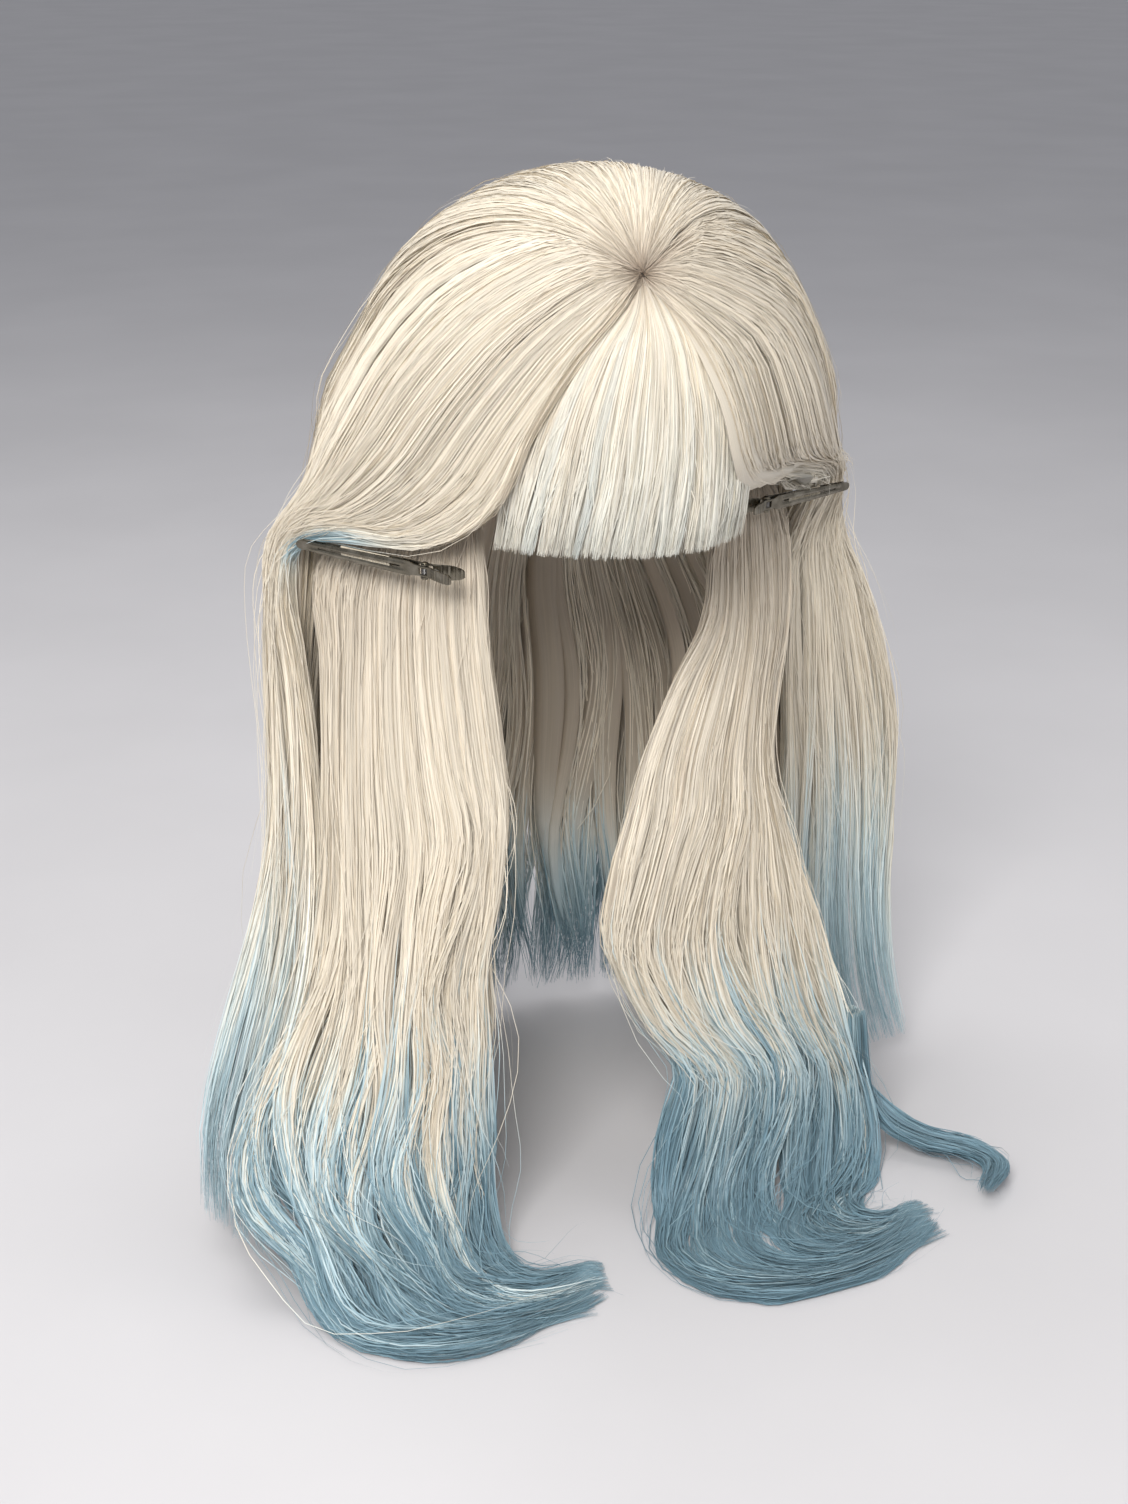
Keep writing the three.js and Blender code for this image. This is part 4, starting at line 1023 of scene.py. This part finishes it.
class WIG_OT_crown(bpy.types.Operator):
    """Adds the crown hair and the back lengths"""

    bl_idname = "wig.crown"
    bl_label = "Crown and back"

    def execute(self, context):
        sheet = Sheet(back_guides(), -1)
        for name, seed, a0, a1 in (
            ("left", 31, 0.0, 0.33),
            ("middle", 32, 0.33, 0.67),
            ("right", 33, 0.67, 1.0),
        ):
            # core_shade paints shade on the upper lock bodies.
            ob = strands_piece(
                "hair_back_" + name, sheet, seed, 2400, 31, 32, a_range=(a0, a1),
                thick=(3.0, 14.0), clump=(0.3, 0.95, 0.6), wave=(0.0, 8.0), turns=2.6, wander=2.2,
                uneven=0.16,
                stray=0.06, root_fade=0.03, drift=0.07, body=0.6, core_shade=0.35, deep_tint=0.02,
            )
            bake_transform(ob)
            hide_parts("crown_hair_" + name, "back_length_" + name)
            if name == "middle":
                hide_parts("back_tips")
        # The core shade here is painted shade on the nape hair's lock bodies.
        ob = strands_piece(
            "hair_nape", Sheet(nape_guides(), -1), 34, 2800, 25, 36, thick=(3.0, 10.0), clump=(0.3, 1.0, 0.5),
            wave=(0.0, 6.0), turns=2.2, wander=2.4, uneven=0.2, stray=0.04, root_fade=0.04, drift=0.05,
            body=0.7,
            core_shade=0.5, root_depth=0.5,
        )
        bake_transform(ob)
        return {"FINISHED"}


class WIG_OT_front_lengths(bpy.types.Operator):
    """Adds the front lengths and their tips on the table"""

    bl_idname = "wig.front_lengths"
    bl_label = "Front lengths"

    def execute(self, context):
        for tag, guides, outward, seed in (("R", FRONT_R, 1, 41), ("L", FRONT_L, -1, 42)):
            sheet = Sheet(guides, outward)
            for part, a0, a1, k in (("inner", 0.0, 0.5, 0), ("outer", 0.5, 1.0, 5)):
                # The long root fade and the core shade paint shade at the top of the front lengths, under the
                # side sections.
                ob = strands_piece(
                    "hair_front_" + tag + "_" + part, sheet, seed + k, 2650, 34, 30, a_range=(a0, a1),
                    thick=(4.0, 18.0), clump=(0.06, 0.8, 0.42), wave=(0.0, 8.5), turns=3.6, wander=2.8,
                    gather=0.42, uneven=0.24,
                    stray=0.09, root_fade=0.13, root_depth=0.6, tint_start=-0.315, tint_depth=0.115,
                    drift=0.10,
                    body=0.55, core_shade=0.4,
                )
                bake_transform(ob)
                if part == "inner":
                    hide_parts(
                        "temple_hair_" + tag,
                        "front_length_" + tag + "_inner", "front_length_" + tag + "_middle",
                    )
                else:
                    names = ["front_length_" + tag + "_outer", "front_tips_" + tag]
                    names.append("tip_curl_R" if tag == "R" else "tip_curl_L_front")
                    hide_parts(*names)
        line = np.array(CURL_L, float)
        run = np.gradient(line, axis=0)
        level = np.stack([-run[:, 1], run[:, 0], 0 * run[:, 0]], -1)
        level /= np.linalg.norm(level, axis=1, keepdims=True)
        spread = np.array([8, 9, 9, 10, 10, 9, 7, 3.0])[:, None]
        guides = [(line + level * spread * k + (0, 0, 2.0)).tolist() for k in (-1, -0.35, 0.35, 1)]
        ob = strands_piece(
            "hair_curl_L", Sheet(guides, 1), 51, 620, 26, 9, thick=(8.0, 5.0), clump=(0.1, 0.8, 0.5),
            wander=1.6,
            uneven=0.35, stray=0.08, root_fade=0.01, root_depth=0.0, drift=0.05, body=0.35, core_end=0.7,
        )
        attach(ob, "front_length_L")
        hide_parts("tip_curl_L_side")
        return {"FINISHED"}


# ---- cap -------------------------------------------------------------------------------------
CROWN_POLAR = 34.0
NET_OUT = 2.1
NET_GAP = 0.3
THREAD = (0.62, 0.52, 0.36)
PANELS = (("front", -54, 54), ("side_L", 54, 112), ("side_R", -112, -54), ("back", 112, 248))
WEFT_ROWS = ((60, 66, 294), (36, 64, 296), (12, 66, 294), (-12, 112, 248), (-34, 128, 232))


def edge_polars(turns):
    """Degrees down from the crown of the cap's edge at each turn."""
    return np.array([polar_at(edge_level(t)) for t in turns])


def disc(u, v):
    """Round off a square: centre distance and angle."""
    a, b = 2 * u - 1, 2 * v - 1
    x, y = a * np.sqrt(1 - b * b / 2), b * np.sqrt(1 - a * a / 2)
    return np.hypot(x, y), np.degrees(np.arctan2(x, -y))


def zigzag(path, half, count):
    """A sewing line: points that step to and fro across a path given by place(u, v)."""
    u = np.linspace(0.002, 0.998, count)
    v = 0.5 + half * np.where(np.arange(count) % 2, 1.0, -1.0)
    return path(u, v)


def ring_strip(turns, polars, width, out):
    """Where a strip of a given width (degrees) runs along a line on the head's oval."""

    def place(u, v):
        t = np.interp(u, np.linspace(0, 1, len(turns)), turns)
        q = np.interp(u, np.linspace(0, 1, len(polars)), polars)
        dt, dq = turns[-1] - turns[0], polars[-1] - polars[0]
        if abs(dt) > abs(dq):
            return on_head(t, q + (v - 0.5) * width, np.full(len(u), out)) * MM
        return on_head(t + (v - 0.5) * width, q, np.full(len(u), out)) * MM

    return place


def net_sheet(name, node, place, nu, nv, material, thickness):
    """One panel of stretched net cloth in place of its plain solid."""
    ob = sheet_grid(nu, nv, place)
    finish_mesh(ob, name, material, solid(thickness))
    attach(ob, "cap")
    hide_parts(node)
    return ob


class WIG_OT_net(bpy.types.Operator):
    """Adds the cap's net panels and the tapes over their seams"""

    bl_idname = "wig.net"
    bl_label = "Net cap"

    def execute(self, context):
        s = context.scene.wig_cap
        net = weave_material("cap_net", tuple(s.net), tuple(s.net_shade_and_stain), s.net_pitch, slant=math.pi / 4)

        def crown(u, v):
            r, angle = disc(u, v)
            return on_head(angle, r * (CROWN_POLAR - NET_GAP), np.full(len(u), NET_OUT)) * MM

        net_sheet("net_crown", "cap_crown_net", crown, 24, 24, net, s.net_thickness)
        for tag, t0, t1 in PANELS:

            def panel(u, v, t0=t0, t1=t1):
                turn = t0 + NET_GAP + (t1 - t0 - 2 * NET_GAP) * u
                top = CROWN_POLAR + NET_GAP
                return on_head(turn, top + (edge_polars(turn) - top) * v, np.full(len(u), NET_OUT)) * MM

            kind, _, side = tag.partition("_")
            node = "cap_" + kind + "_net" + ("_" + side if side else "")
            net_sheet("net_" + tag, node, panel, int((t1 - t0) / 2.5), 26, net, s.net_thickness)

        ribbon = weave_material("seam_tape", tuple(s.ribbon), tuple(s.ribbon_shade_and_stain), s.ribbon_pitch, slant=0.6)
        thread = thread_material("sewing_thread", THREAD)
        lines = [(np.linspace(-180, 180, 73), np.full(73, CROWN_POLAR), 2.4, 70)]
        for turn in (-54, 54, 112, -112):
            low = polar_at(edge_level(turn))
            lines.append((np.full(12, float(turn)), np.linspace(CROWN_POLAR + 1, low - 1, 12), 3.2, 30))
        tapes, seams = [], []
        for turns, polars, width, count in lines:
            ob = sheet_grid(len(turns) * 2, 2, ring_strip(turns, polars, width, 2.6))
            tapes.append(finish_mesh(ob, "tape", ribbon, solid(0.0004)))
            seams.append(zigzag(ring_strip(turns, polars, width, 2.85), 0.28, count * 3))
        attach(join(tapes, "seam_tapes"), "cap")
        stitches = tube("seam_stitches", seams, s.stitch_radius, thread)
        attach(stitches, "cap")
        return {"FINISHED"}


class WIG_OT_bands(bpy.types.Operator):
    """Adds the sewn edge bands, the ear tabs and their stays"""

    bl_idname = "wig.bands"
    bl_label = "Bands and ear tabs"

    def execute(self, context):
        s = context.scene.wig_cap
        ribbon = weave_material("sewn_band", tuple(s.ribbon), tuple(s.ribbon_shade_and_stain), s.ribbon_pitch, slant=0.6)
        thread = thread_material("sewing_thread", THREAD)
        steel = metal_material("stay_steel", (0.55, 0.54, 0.52), (0.38, 0.37, 0.35), 0.32)
        for name, node, t0, t1 in (
            ("band_front", "front_edge_band", -53, 53),
            ("band_nape", "nape_band", 112.3, 247.7),
        ):

            def place(u, v, out=0.55, t0=t0, t1=t1):
                turn = t0 + (t1 - t0) * u
                return on_head(turn, edge_polars(turn) - 6 + 5.6 * v, np.full(len(u), out)) * MM

            ob = sheet_grid(60, 5, place)
            finish_mesh(ob, name, ribbon, solid(0.0008, 0.0002))
            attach(ob, "cap")
            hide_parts(node)
            rows = []
            for level in (0.22, 0.78):
                rows.append(zigzag(lambda u, v, k=level, f=place: f(u, k + (v - 0.5) * 0.3, 0.08), 0.4, 240))
            sewn = tube(name + "_stitches", rows, s.stitch_radius, thread)
            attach(sewn, "cap")
        for side, tag in ((1, "L"), (-1, "R")):

            def tab(u, v, share=1.0, out=2.1, z0=-9.6, z1=-36.0, side=side):
                half = (11 - 5 * v) * np.sqrt(1 - np.clip((v - 0.72) / 0.30, 0, 0.97) ** 2)
                turn = side * (80 + share * (2 * u - 1) * half)
                z = z0 + (z1 - z0) * v
                return on_head(turn, np.array([polar_at(x) for x in z]), np.full(len(u), out)) * MM

            ob = sheet_grid(10, 14, tab)
            finish_mesh(ob, "ear_tab_cloth_" + tag, ribbon, solid(0.0009, 0.0003))
            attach(ob, "cap")
            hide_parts("ear_tab_" + tag)
            u = np.concatenate([np.full(20, 0.12), np.linspace(0.12, 0.88, 12), np.full(20, 0.88)])
            v = np.concatenate([np.linspace(0.04, 0.9, 20), np.full(12, 0.9), np.linspace(0.9, 0.04, 20)])
            sewn = tube("ear_tab_stitches_" + tag, [tab(u, v, 1.0, 2.7)], s.stitch_radius, thread)
            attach(sewn, "cap")
            ob = sheet_grid(2, 12, lambda u, v, f=tab: f(u, v, 0.15, 3.2, -11.0, -33.0))
            finish_mesh(ob, "ear_tab_wire_" + tag, steel, solid(0.0006, 0.0002))
            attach(ob, "cap")
            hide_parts("ear_tab_stay_" + tag)
        return {"FINISHED"}


class WIG_OT_wefts(bpy.types.Operator):
    """Adds the sewn weft rows and the parting patch"""

    bl_idname = "wig.wefts"
    bl_label = "Wefts and parting"

    def execute(self, context):
        s = context.scene.wig_cap
        # Its second colour is painted shade between the threads.
        track = weave_material(
            "weft_track", (0.74, 0.64, 0.46), (0.44, 0.36, 0.23), s.ribbon_pitch * 1.4, slant=1.1
        )
        thread = thread_material("weft_thread", (0.78, 0.70, 0.54))
        for i, (z, t0, t1) in enumerate(WEFT_ROWS):
            half = 1.6 / (2 * math.pi * (HEAD_CROWN_RISE if z > 0 else HEAD_LOWER_DROP)) * 360
            turns = np.linspace(t0, t1, 60)
            line = ring_strip(turns, np.full(60, polar_at(z)), 2 * half, 3.5)
            ob = sheet_grid(120, 2, line)
            finish_mesh(ob, "strip", track, solid(0.0011))
            stitches = []
            for level in (0.2, 0.8):
                top = ring_strip(turns, np.full(60, polar_at(z)), 2 * half, 4.15)
                stitches.append(zigzag(lambda u, v, k=level, f=top: f(u, k + (v - 0.5) * 0.25), 0.4, 420))
            sewn = tube("thread", stitches, s.stitch_radius * 1.3, thread, 2)
            ob = join([ob, sewn], "weft_%d_stitched" % (i + 1))
            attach(ob, "cap")
            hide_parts("weft_row_%d" % (i + 1))

        def patch(u, v):
            r, angle = disc(u, v)
            turn = -5 + 15.5 * r * np.sin(np.radians(angle))
            return on_head(turn, 49 - 10.7 * r * np.cos(np.radians(angle)), np.full(len(u), 3.15)) * MM

        ob = sheet_grid(16, 16, patch)
        finish_mesh(ob, "parting_patch", skin_material(s), solid(0.0005))
        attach(ob, "cap")
        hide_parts("parting_skin_patch")
        return {"FINISHED"}


class WIG_OT_adjusters(bpy.types.Operator):
    """Adds the nape straps, their hooks and the loops"""

    bl_idname = "wig.adjusters"
    bl_label = "Adjusters"

    def execute(self, context):
        s = context.scene.wig_cap
        # Their second colours are painted shade between the threads.
        elastic = weave_material(
            "elastic_strap", (0.56, 0.44, 0.28), (0.33, 0.24, 0.13), s.ribbon_pitch * 1.2
        )
        ribbon = weave_material(
            "loop_tape", (0.66, 0.54, 0.34), (0.40, 0.30, 0.16), s.ribbon_pitch, slant=0.6
        )
        level = polar_at(-52)
        for side, tag in ((1, "L"), (-1, "R")):
            strap = ring_strip(side * np.linspace(137, 156, 20), np.full(20, level), 2.9, 3.3)
            ob = sheet_grid(36, 4, strap)
            finish_mesh(ob, "nape_strap_" + tag, elastic, solid(0.0008, 0.0002))
            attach(ob, "cap")
            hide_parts("adjuster_strap_" + tag)

            def loops(u, v, side=side):
                turn = side * (161 + 15 * u)
                rise = 3.15 + 0.9 * np.abs(np.sin(u * 5 * math.pi)) ** 0.6
                return on_head(turn, level + (v - 0.5) * 3.2, rise) * MM

            ob = sheet_grid(60, 4, loops)
            finish_mesh(ob, "nape_loops_" + tag, ribbon, solid(0.0005))
            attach(ob, "cap")
            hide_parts("adjuster_loops_" + tag)

            turns = side * np.array([157.4, 158.4, 159.4])
            at = [on_head(np.array([t]), np.array([level]), np.array([4.6]))[0] for t in turns]
            along = (at[2] - at[0]) / np.linalg.norm(at[2] - at[0])
            up = np.array([0, 0, 1.0]) - along * along[2]
            up /= np.linalg.norm(up)
            outwards = np.cross(along, up) * side
            line = np.array([
                (-3.5, 0.2), (-1.0, 0.22), (1.6, 0.3), (2.6, 0.5), (3.0, 0.95), (2.8, 1.4), (2.3, 1.7),
            ])

            def hook(u, v, middle=at[1], along=along, up=up, outwards=outwards):
                f = np.linspace(0, 1, len(line))
                x, z = np.interp(u, f, line[:, 0]), np.interp(u, f, line[:, 1])
                wide = 2.6 - 0.7 * smooth(u, 0.5, 1.0)
                y = (2 * v - 1) * wide
                return (middle + x[:, None] * along + z[:, None] * outwards + y[:, None] * up) * MM

            ob = sheet_grid(24, 4, hook)
            finish_mesh(ob, "nape_hook_" + tag, plastic_material(s), solid(0.0008, 0.00022, 3))
            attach(ob, "hook_" + tag)
            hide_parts("adjuster_hook_" + tag)
        return {"FINISHED"}


# ---- clips -----------------------------------------------------------------------------------
CLIP_ENDS = {"R": ((-160, 14, -69), (-100, -66, -72)), "L": ((163, 12, -70), (76, -34, -63))}


def clip_matrix(tag, blade):
    """Clip space: x from the pivot to the nose, y across the blade, z away from the hair."""
    nose, tail = (Vector(p) * MM for p in CLIP_ENDS[tag])
    along = (nose - tail).normalized()
    outwards = Vector((along.y, -along.x, 0)).normalized()
    if outwards.y > 0:
        outwards = -outwards
    across = outwards.cross(along).normalized()
    m = Matrix((along, across, outwards)).transposed().to_4x4()
    m.translation = nose - along * blade
    return m


def clip_jaw(s, way, inner_half):
    """One pressed steel jaw with its lever, raised lips and, on the outer one, a long slot; its ears are
    added beside it by the caller.
    """
    half, level = s.width / 2, s.gap / 2 + s.sheet / 2
    lever_half = half if way < 0 else inner_half
    xs = np.array([
        -s.lever, -0.7 * s.lever, -0.35 * s.lever, -0.0046, 0.0055, 0.0085, 0.55 * s.blade, s.blade - 0.004,
    ])
    zs = way * np.array([0.0062, 0.0050, 0.0029, level, level, level, level, level])
    hs = np.array([
        0.0024, lever_half, lever_half, lever_half, lever_half, half, 0.85 * half, s.nose_width / 2,
    ])

    def place(u, v):
        x = -s.lever + (s.blade + s.lever) * u
        z = np.interp(x, xs, zs)
        h = np.interp(x, xs, hs) * np.sqrt(1 - np.clip((x - s.blade + 0.003) / 0.0031, 0, 0.985) ** 2)
        h = h * np.sqrt(1 - np.clip((-s.lever + 0.0022 - x) / 0.0030, 0, 0.9) ** 2)
        f = 2 * v - 1
        lip = smooth(x, 0.010, 0.014) * (1 - smooth(x, s.blade - 0.012, s.blade - 0.008))
        z = z + way * 0.00035 * lip * np.exp(-(((np.abs(f) - 0.5) / 0.16) ** 2))
        grip = (1 - smooth(x, -0.008, -0.006)) * 0.00022 * np.sin(x * 2 * math.pi / 0.0022)
        return np.stack([x, f * h, z + way * grip], -1)

    ob = sheet_grid(120, 16, place)
    me = ob.data
    me.vertices.foreach_set("select", np.zeros(len(me.vertices), bool))
    me.edges.foreach_set("select", np.zeros(len(me.edges), bool))
    for poly in me.polygons:
        x = poly.center.x
        f = abs(poly.center.y) / np.interp(x, xs, hs)
        window = abs(x) < 0.0042 and f < 0.76 if way < 0 else abs(x) < 0.0026 and f < 0.62
        slot = way > 0 and 0.014 < x < 0.82 * s.blade and f < 0.25
        poly.select = bool(window or slot)
    bpy.context.tool_settings.mesh_select_mode = (False, False, True)
    bpy.ops.object.mode_set(mode="EDIT")
    bpy.ops.mesh.delete(type="FACE")
    bpy.ops.object.mode_set(mode="OBJECT")
    return ob


class WIG_OT_clips(bpy.types.Operator):
    """Adds the two duckbill clips and the hair they hold"""

    bl_idname = "wig.clips"
    bl_label = "Clips"

    def execute(self, context):
        s = context.scene.wig_clip
        # The clips' brighter worn spots are painted highlight as well as wear.
        steel = metal_material("clip_steel", s.steel, s.wear_and_highlight, 0.26)
        wire = metal_material("spring_wire", s.spring, (0.18, 0.17, 0.16), 0.3)
        half = s.width / 2
        ear = 0.0007
        inner_half = half - ear - 0.0003
        across = (math.pi / 2, 0, 0)
        rounded = [("BEVEL", {"width": 0.00012, "segments": 2, "limit_method": "ANGLE"})]
        for tag in ("R", "L"):
            m = clip_matrix(tag, s.blade)
            for name, way, body, reach in (
                ("inner_jaw", -1, "clip_" + tag, half),
                ("outer_jaw", 1, "clip_" + tag + "_jaw", inner_half),
            ):
                pieces = [finish_mesh(clip_jaw(s, way, inner_half), "jaw", steel, [
                    ("SOLIDIFY", {"thickness": s.sheet, "offset": 0.0}),
                    ("BEVEL", {"width": 0.00016, "segments": 2, "limit_method": "ANGLE", "angle_limit": 0.9}),
                ])]
                for end in (-1, 1):
                    y = end * (reach - ear / 2)
                    pieces.append(primitive(
                        bpy.ops.mesh.primitive_cylinder_add, "ear", steel, rounded,
                        vertices=40, radius=0.0021, depth=ear, location=(0, y, 0), rotation=across,
                    ))
                    pieces.append(primitive(
                        bpy.ops.mesh.primitive_cube_add, "root", steel, rounded, scale=(0.0042, ear, 0.0016),
                        size=1, location=(0, y, way * 0.0008),
                    ))
                ob = join(pieces, "duckbill_" + tag + "_" + name)
                ob.data.transform(m)
                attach(ob, body)
                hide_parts("clip_" + tag + "_" + name)

            heads = [primitive(
                bpy.ops.mesh.primitive_cylinder_add, "shaft", steel,
                vertices=32, radius=0.0011, depth=s.width + 0.0008, location=(0, 0, 0), rotation=across,
            )]
            for end in (-1, 1):
                heads.append(primitive(
                    bpy.ops.mesh.primitive_uv_sphere_add, "head", steel, scale=(0.0018, 0.00065, 0.0018),
                    smooth_angle=60, segments=32, ring_count=16, radius=1,
                    location=(0, end * (half + 0.0003), 0),
                ))
            ob = join(heads, "duckbill_" + tag + "_rivet")
            ob.data.transform(m)
            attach(ob, "clip_" + tag)
            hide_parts("clip_" + tag + "_pin")

            turn = np.linspace(0, 2 * math.pi * 3.5, 120)
            y = np.linspace(-0.0013, 0.0013, 120)
            coil = np.stack([-0.00165 * np.cos(turn), y, 0.00165 * np.sin(turn)], -1)
            legs = [np.array([(-0.008, -0.0013, -0.0007), (-0.004, -0.0013, -0.0006), coil[0]])]
            ob = tube("duckbill_" + tag + "_coil", [coil] + legs, 0.0003, wire)
            ob.data.transform(m)
            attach(ob, "clip_" + tag)
            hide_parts("clip_" + tag + "_spring")

            guides = []
            for x in (22, 32, 42, 52):
                line = []
                for y, z in ((-3.6, 0), (-2, 0), (0, 0), (1.5, 0), (2.5, 0), (3.6, 0)):
                    line.append([c / MM for c in (m @ Vector((x * MM, y * MM, z * MM)))])
                guides.append(line)
            ob = strands_piece(
                "hair_held_" + tag, Sheet(guides, -1), 60 + ord(tag), 420, 12, 8, thick=(0.4, 0.4),
                clump=(0.0, 1.0, 0.2),
                wander=0.15, uneven=0.1, stray=0.0, body=0.0, tint_start=-0.3, tint_depth=0.3, root_fade=0.01,
                root_depth=0.0,
            )
            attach(ob, "cap")
            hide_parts("clip_" + tag + "_held_lock")
        return {"FINISHED"}


class WIG_OT_stage(bpy.types.Operator):
    """Adds the floor, lights and camera"""

    bl_idname = "wig.stage"
    bl_label = "Stage"

    def execute(self, context):
        scene = context.scene
        s = scene.wig_stage
        bpy.ops.object.select_all(action="DESELECT")
        bpy.ops.mesh.primitive_plane_add(size=60.0, location=(0, 0, CAD_BOX[0][2] - 0.0006))
        floor = bpy.context.object
        floor.name = "floor"
        floor.data.materials.append(floor_material(s))
        world = bpy.data.worlds.new("studio")
        world.use_nodes = True
        world.node_tree.nodes["Background"].inputs["Color"].default_value = (0.62, 0.64, 0.69, 1)
        world.node_tree.nodes["Background"].inputs["Strength"].default_value = s.sky
        scene.world = world
        for name, at, size, power in (
            ("key", (-1.0, -1.4, 1.3), 1.0, s.key),
            ("fill", (1.4, -1.0, 0.5), 1.4, s.fill),
            ("top", (-0.2, 0.5, 1.6), 1.2, s.top),
        ):
            bpy.ops.object.light_add(type="AREA", location=at)
            lamp = bpy.context.object
            lamp.name = name
            lamp.data.size = size
            lamp.data.energy = power
            lamp.rotation_euler = (Vector((0, 0, -0.15)) - Vector(at)).to_track_quat("-Z", "Y").to_euler()
        bpy.ops.object.camera_add(location=(-0.440, -1.049, 0.254))
        cam = bpy.context.object
        azimuth, tilt = math.radians(-22), math.radians(22)
        level = math.cos(tilt)
        back = Vector((math.sin(azimuth) * level, -math.cos(azimuth) * level, math.sin(tilt)))
        cam.rotation_euler = (-back).to_track_quat("-Z", "Y").to_euler()
        cam.data.lens = s.lens
        cam.data.sensor_width = 36
        cam.data.clip_start = 0.05
        scene.camera = cam
        scene.view_settings.view_transform = "Standard"
        return {"FINISHED"}


class WIG_PT_panel(bpy.types.Panel):
    """The wig's sizes, colours and pieces"""

    bl_label = "Costume Wig"
    bl_idname = "WIG_PT_panel"
    bl_space_type = "VIEW_3D"
    bl_region_type = "UI"
    bl_category = "Wig"

    def draw(self, context):
        scene = context.scene
        for group in (scene.wig_hair, scene.wig_cap, scene.wig_clip, scene.wig_stage):
            box = self.layout.box()
            for key in group.__annotations__:
                box.prop(group, key)
        for step in STEPS:
            self.layout.operator("wig." + step)


STEPS = (
    "stage", "net", "bands", "wefts", "adjusters", "fringe", "side_sections", "crown", "front_lengths",
    "clips",
)
CLASSES = (
    WigHairSettings,
    WigCapSettings,
    WigClipSettings,
    WigStageSettings,
    WIG_OT_net,
    WIG_OT_bands,
    WIG_OT_wefts,
    WIG_OT_adjusters,
    WIG_OT_fringe,
    WIG_OT_side_sections,
    WIG_OT_crown,
    WIG_OT_front_lengths,
    WIG_OT_clips,
    WIG_OT_stage,
    WIG_PT_panel,
)
SETTINGS = (
    ("wig_hair", WigHairSettings),
    ("wig_cap", WigCapSettings),
    ("wig_clip", WigClipSettings),
    ("wig_stage", WigStageSettings),
)


def register():
    for cls in CLASSES:
        bpy.utils.register_class(cls)
    for name, group in SETTINGS:
        setattr(bpy.types.Scene, name, bpy.props.PointerProperty(type=group))


def unregister():
    for name, _ in SETTINGS:
        delattr(bpy.types.Scene, name)
    for cls in reversed(CLASSES):
        bpy.utils.unregister_class(cls)


def main():
    register()
    for step in STEPS:
        getattr(bpy.ops.wig, step)()


if __name__ == "__main__":
    main()
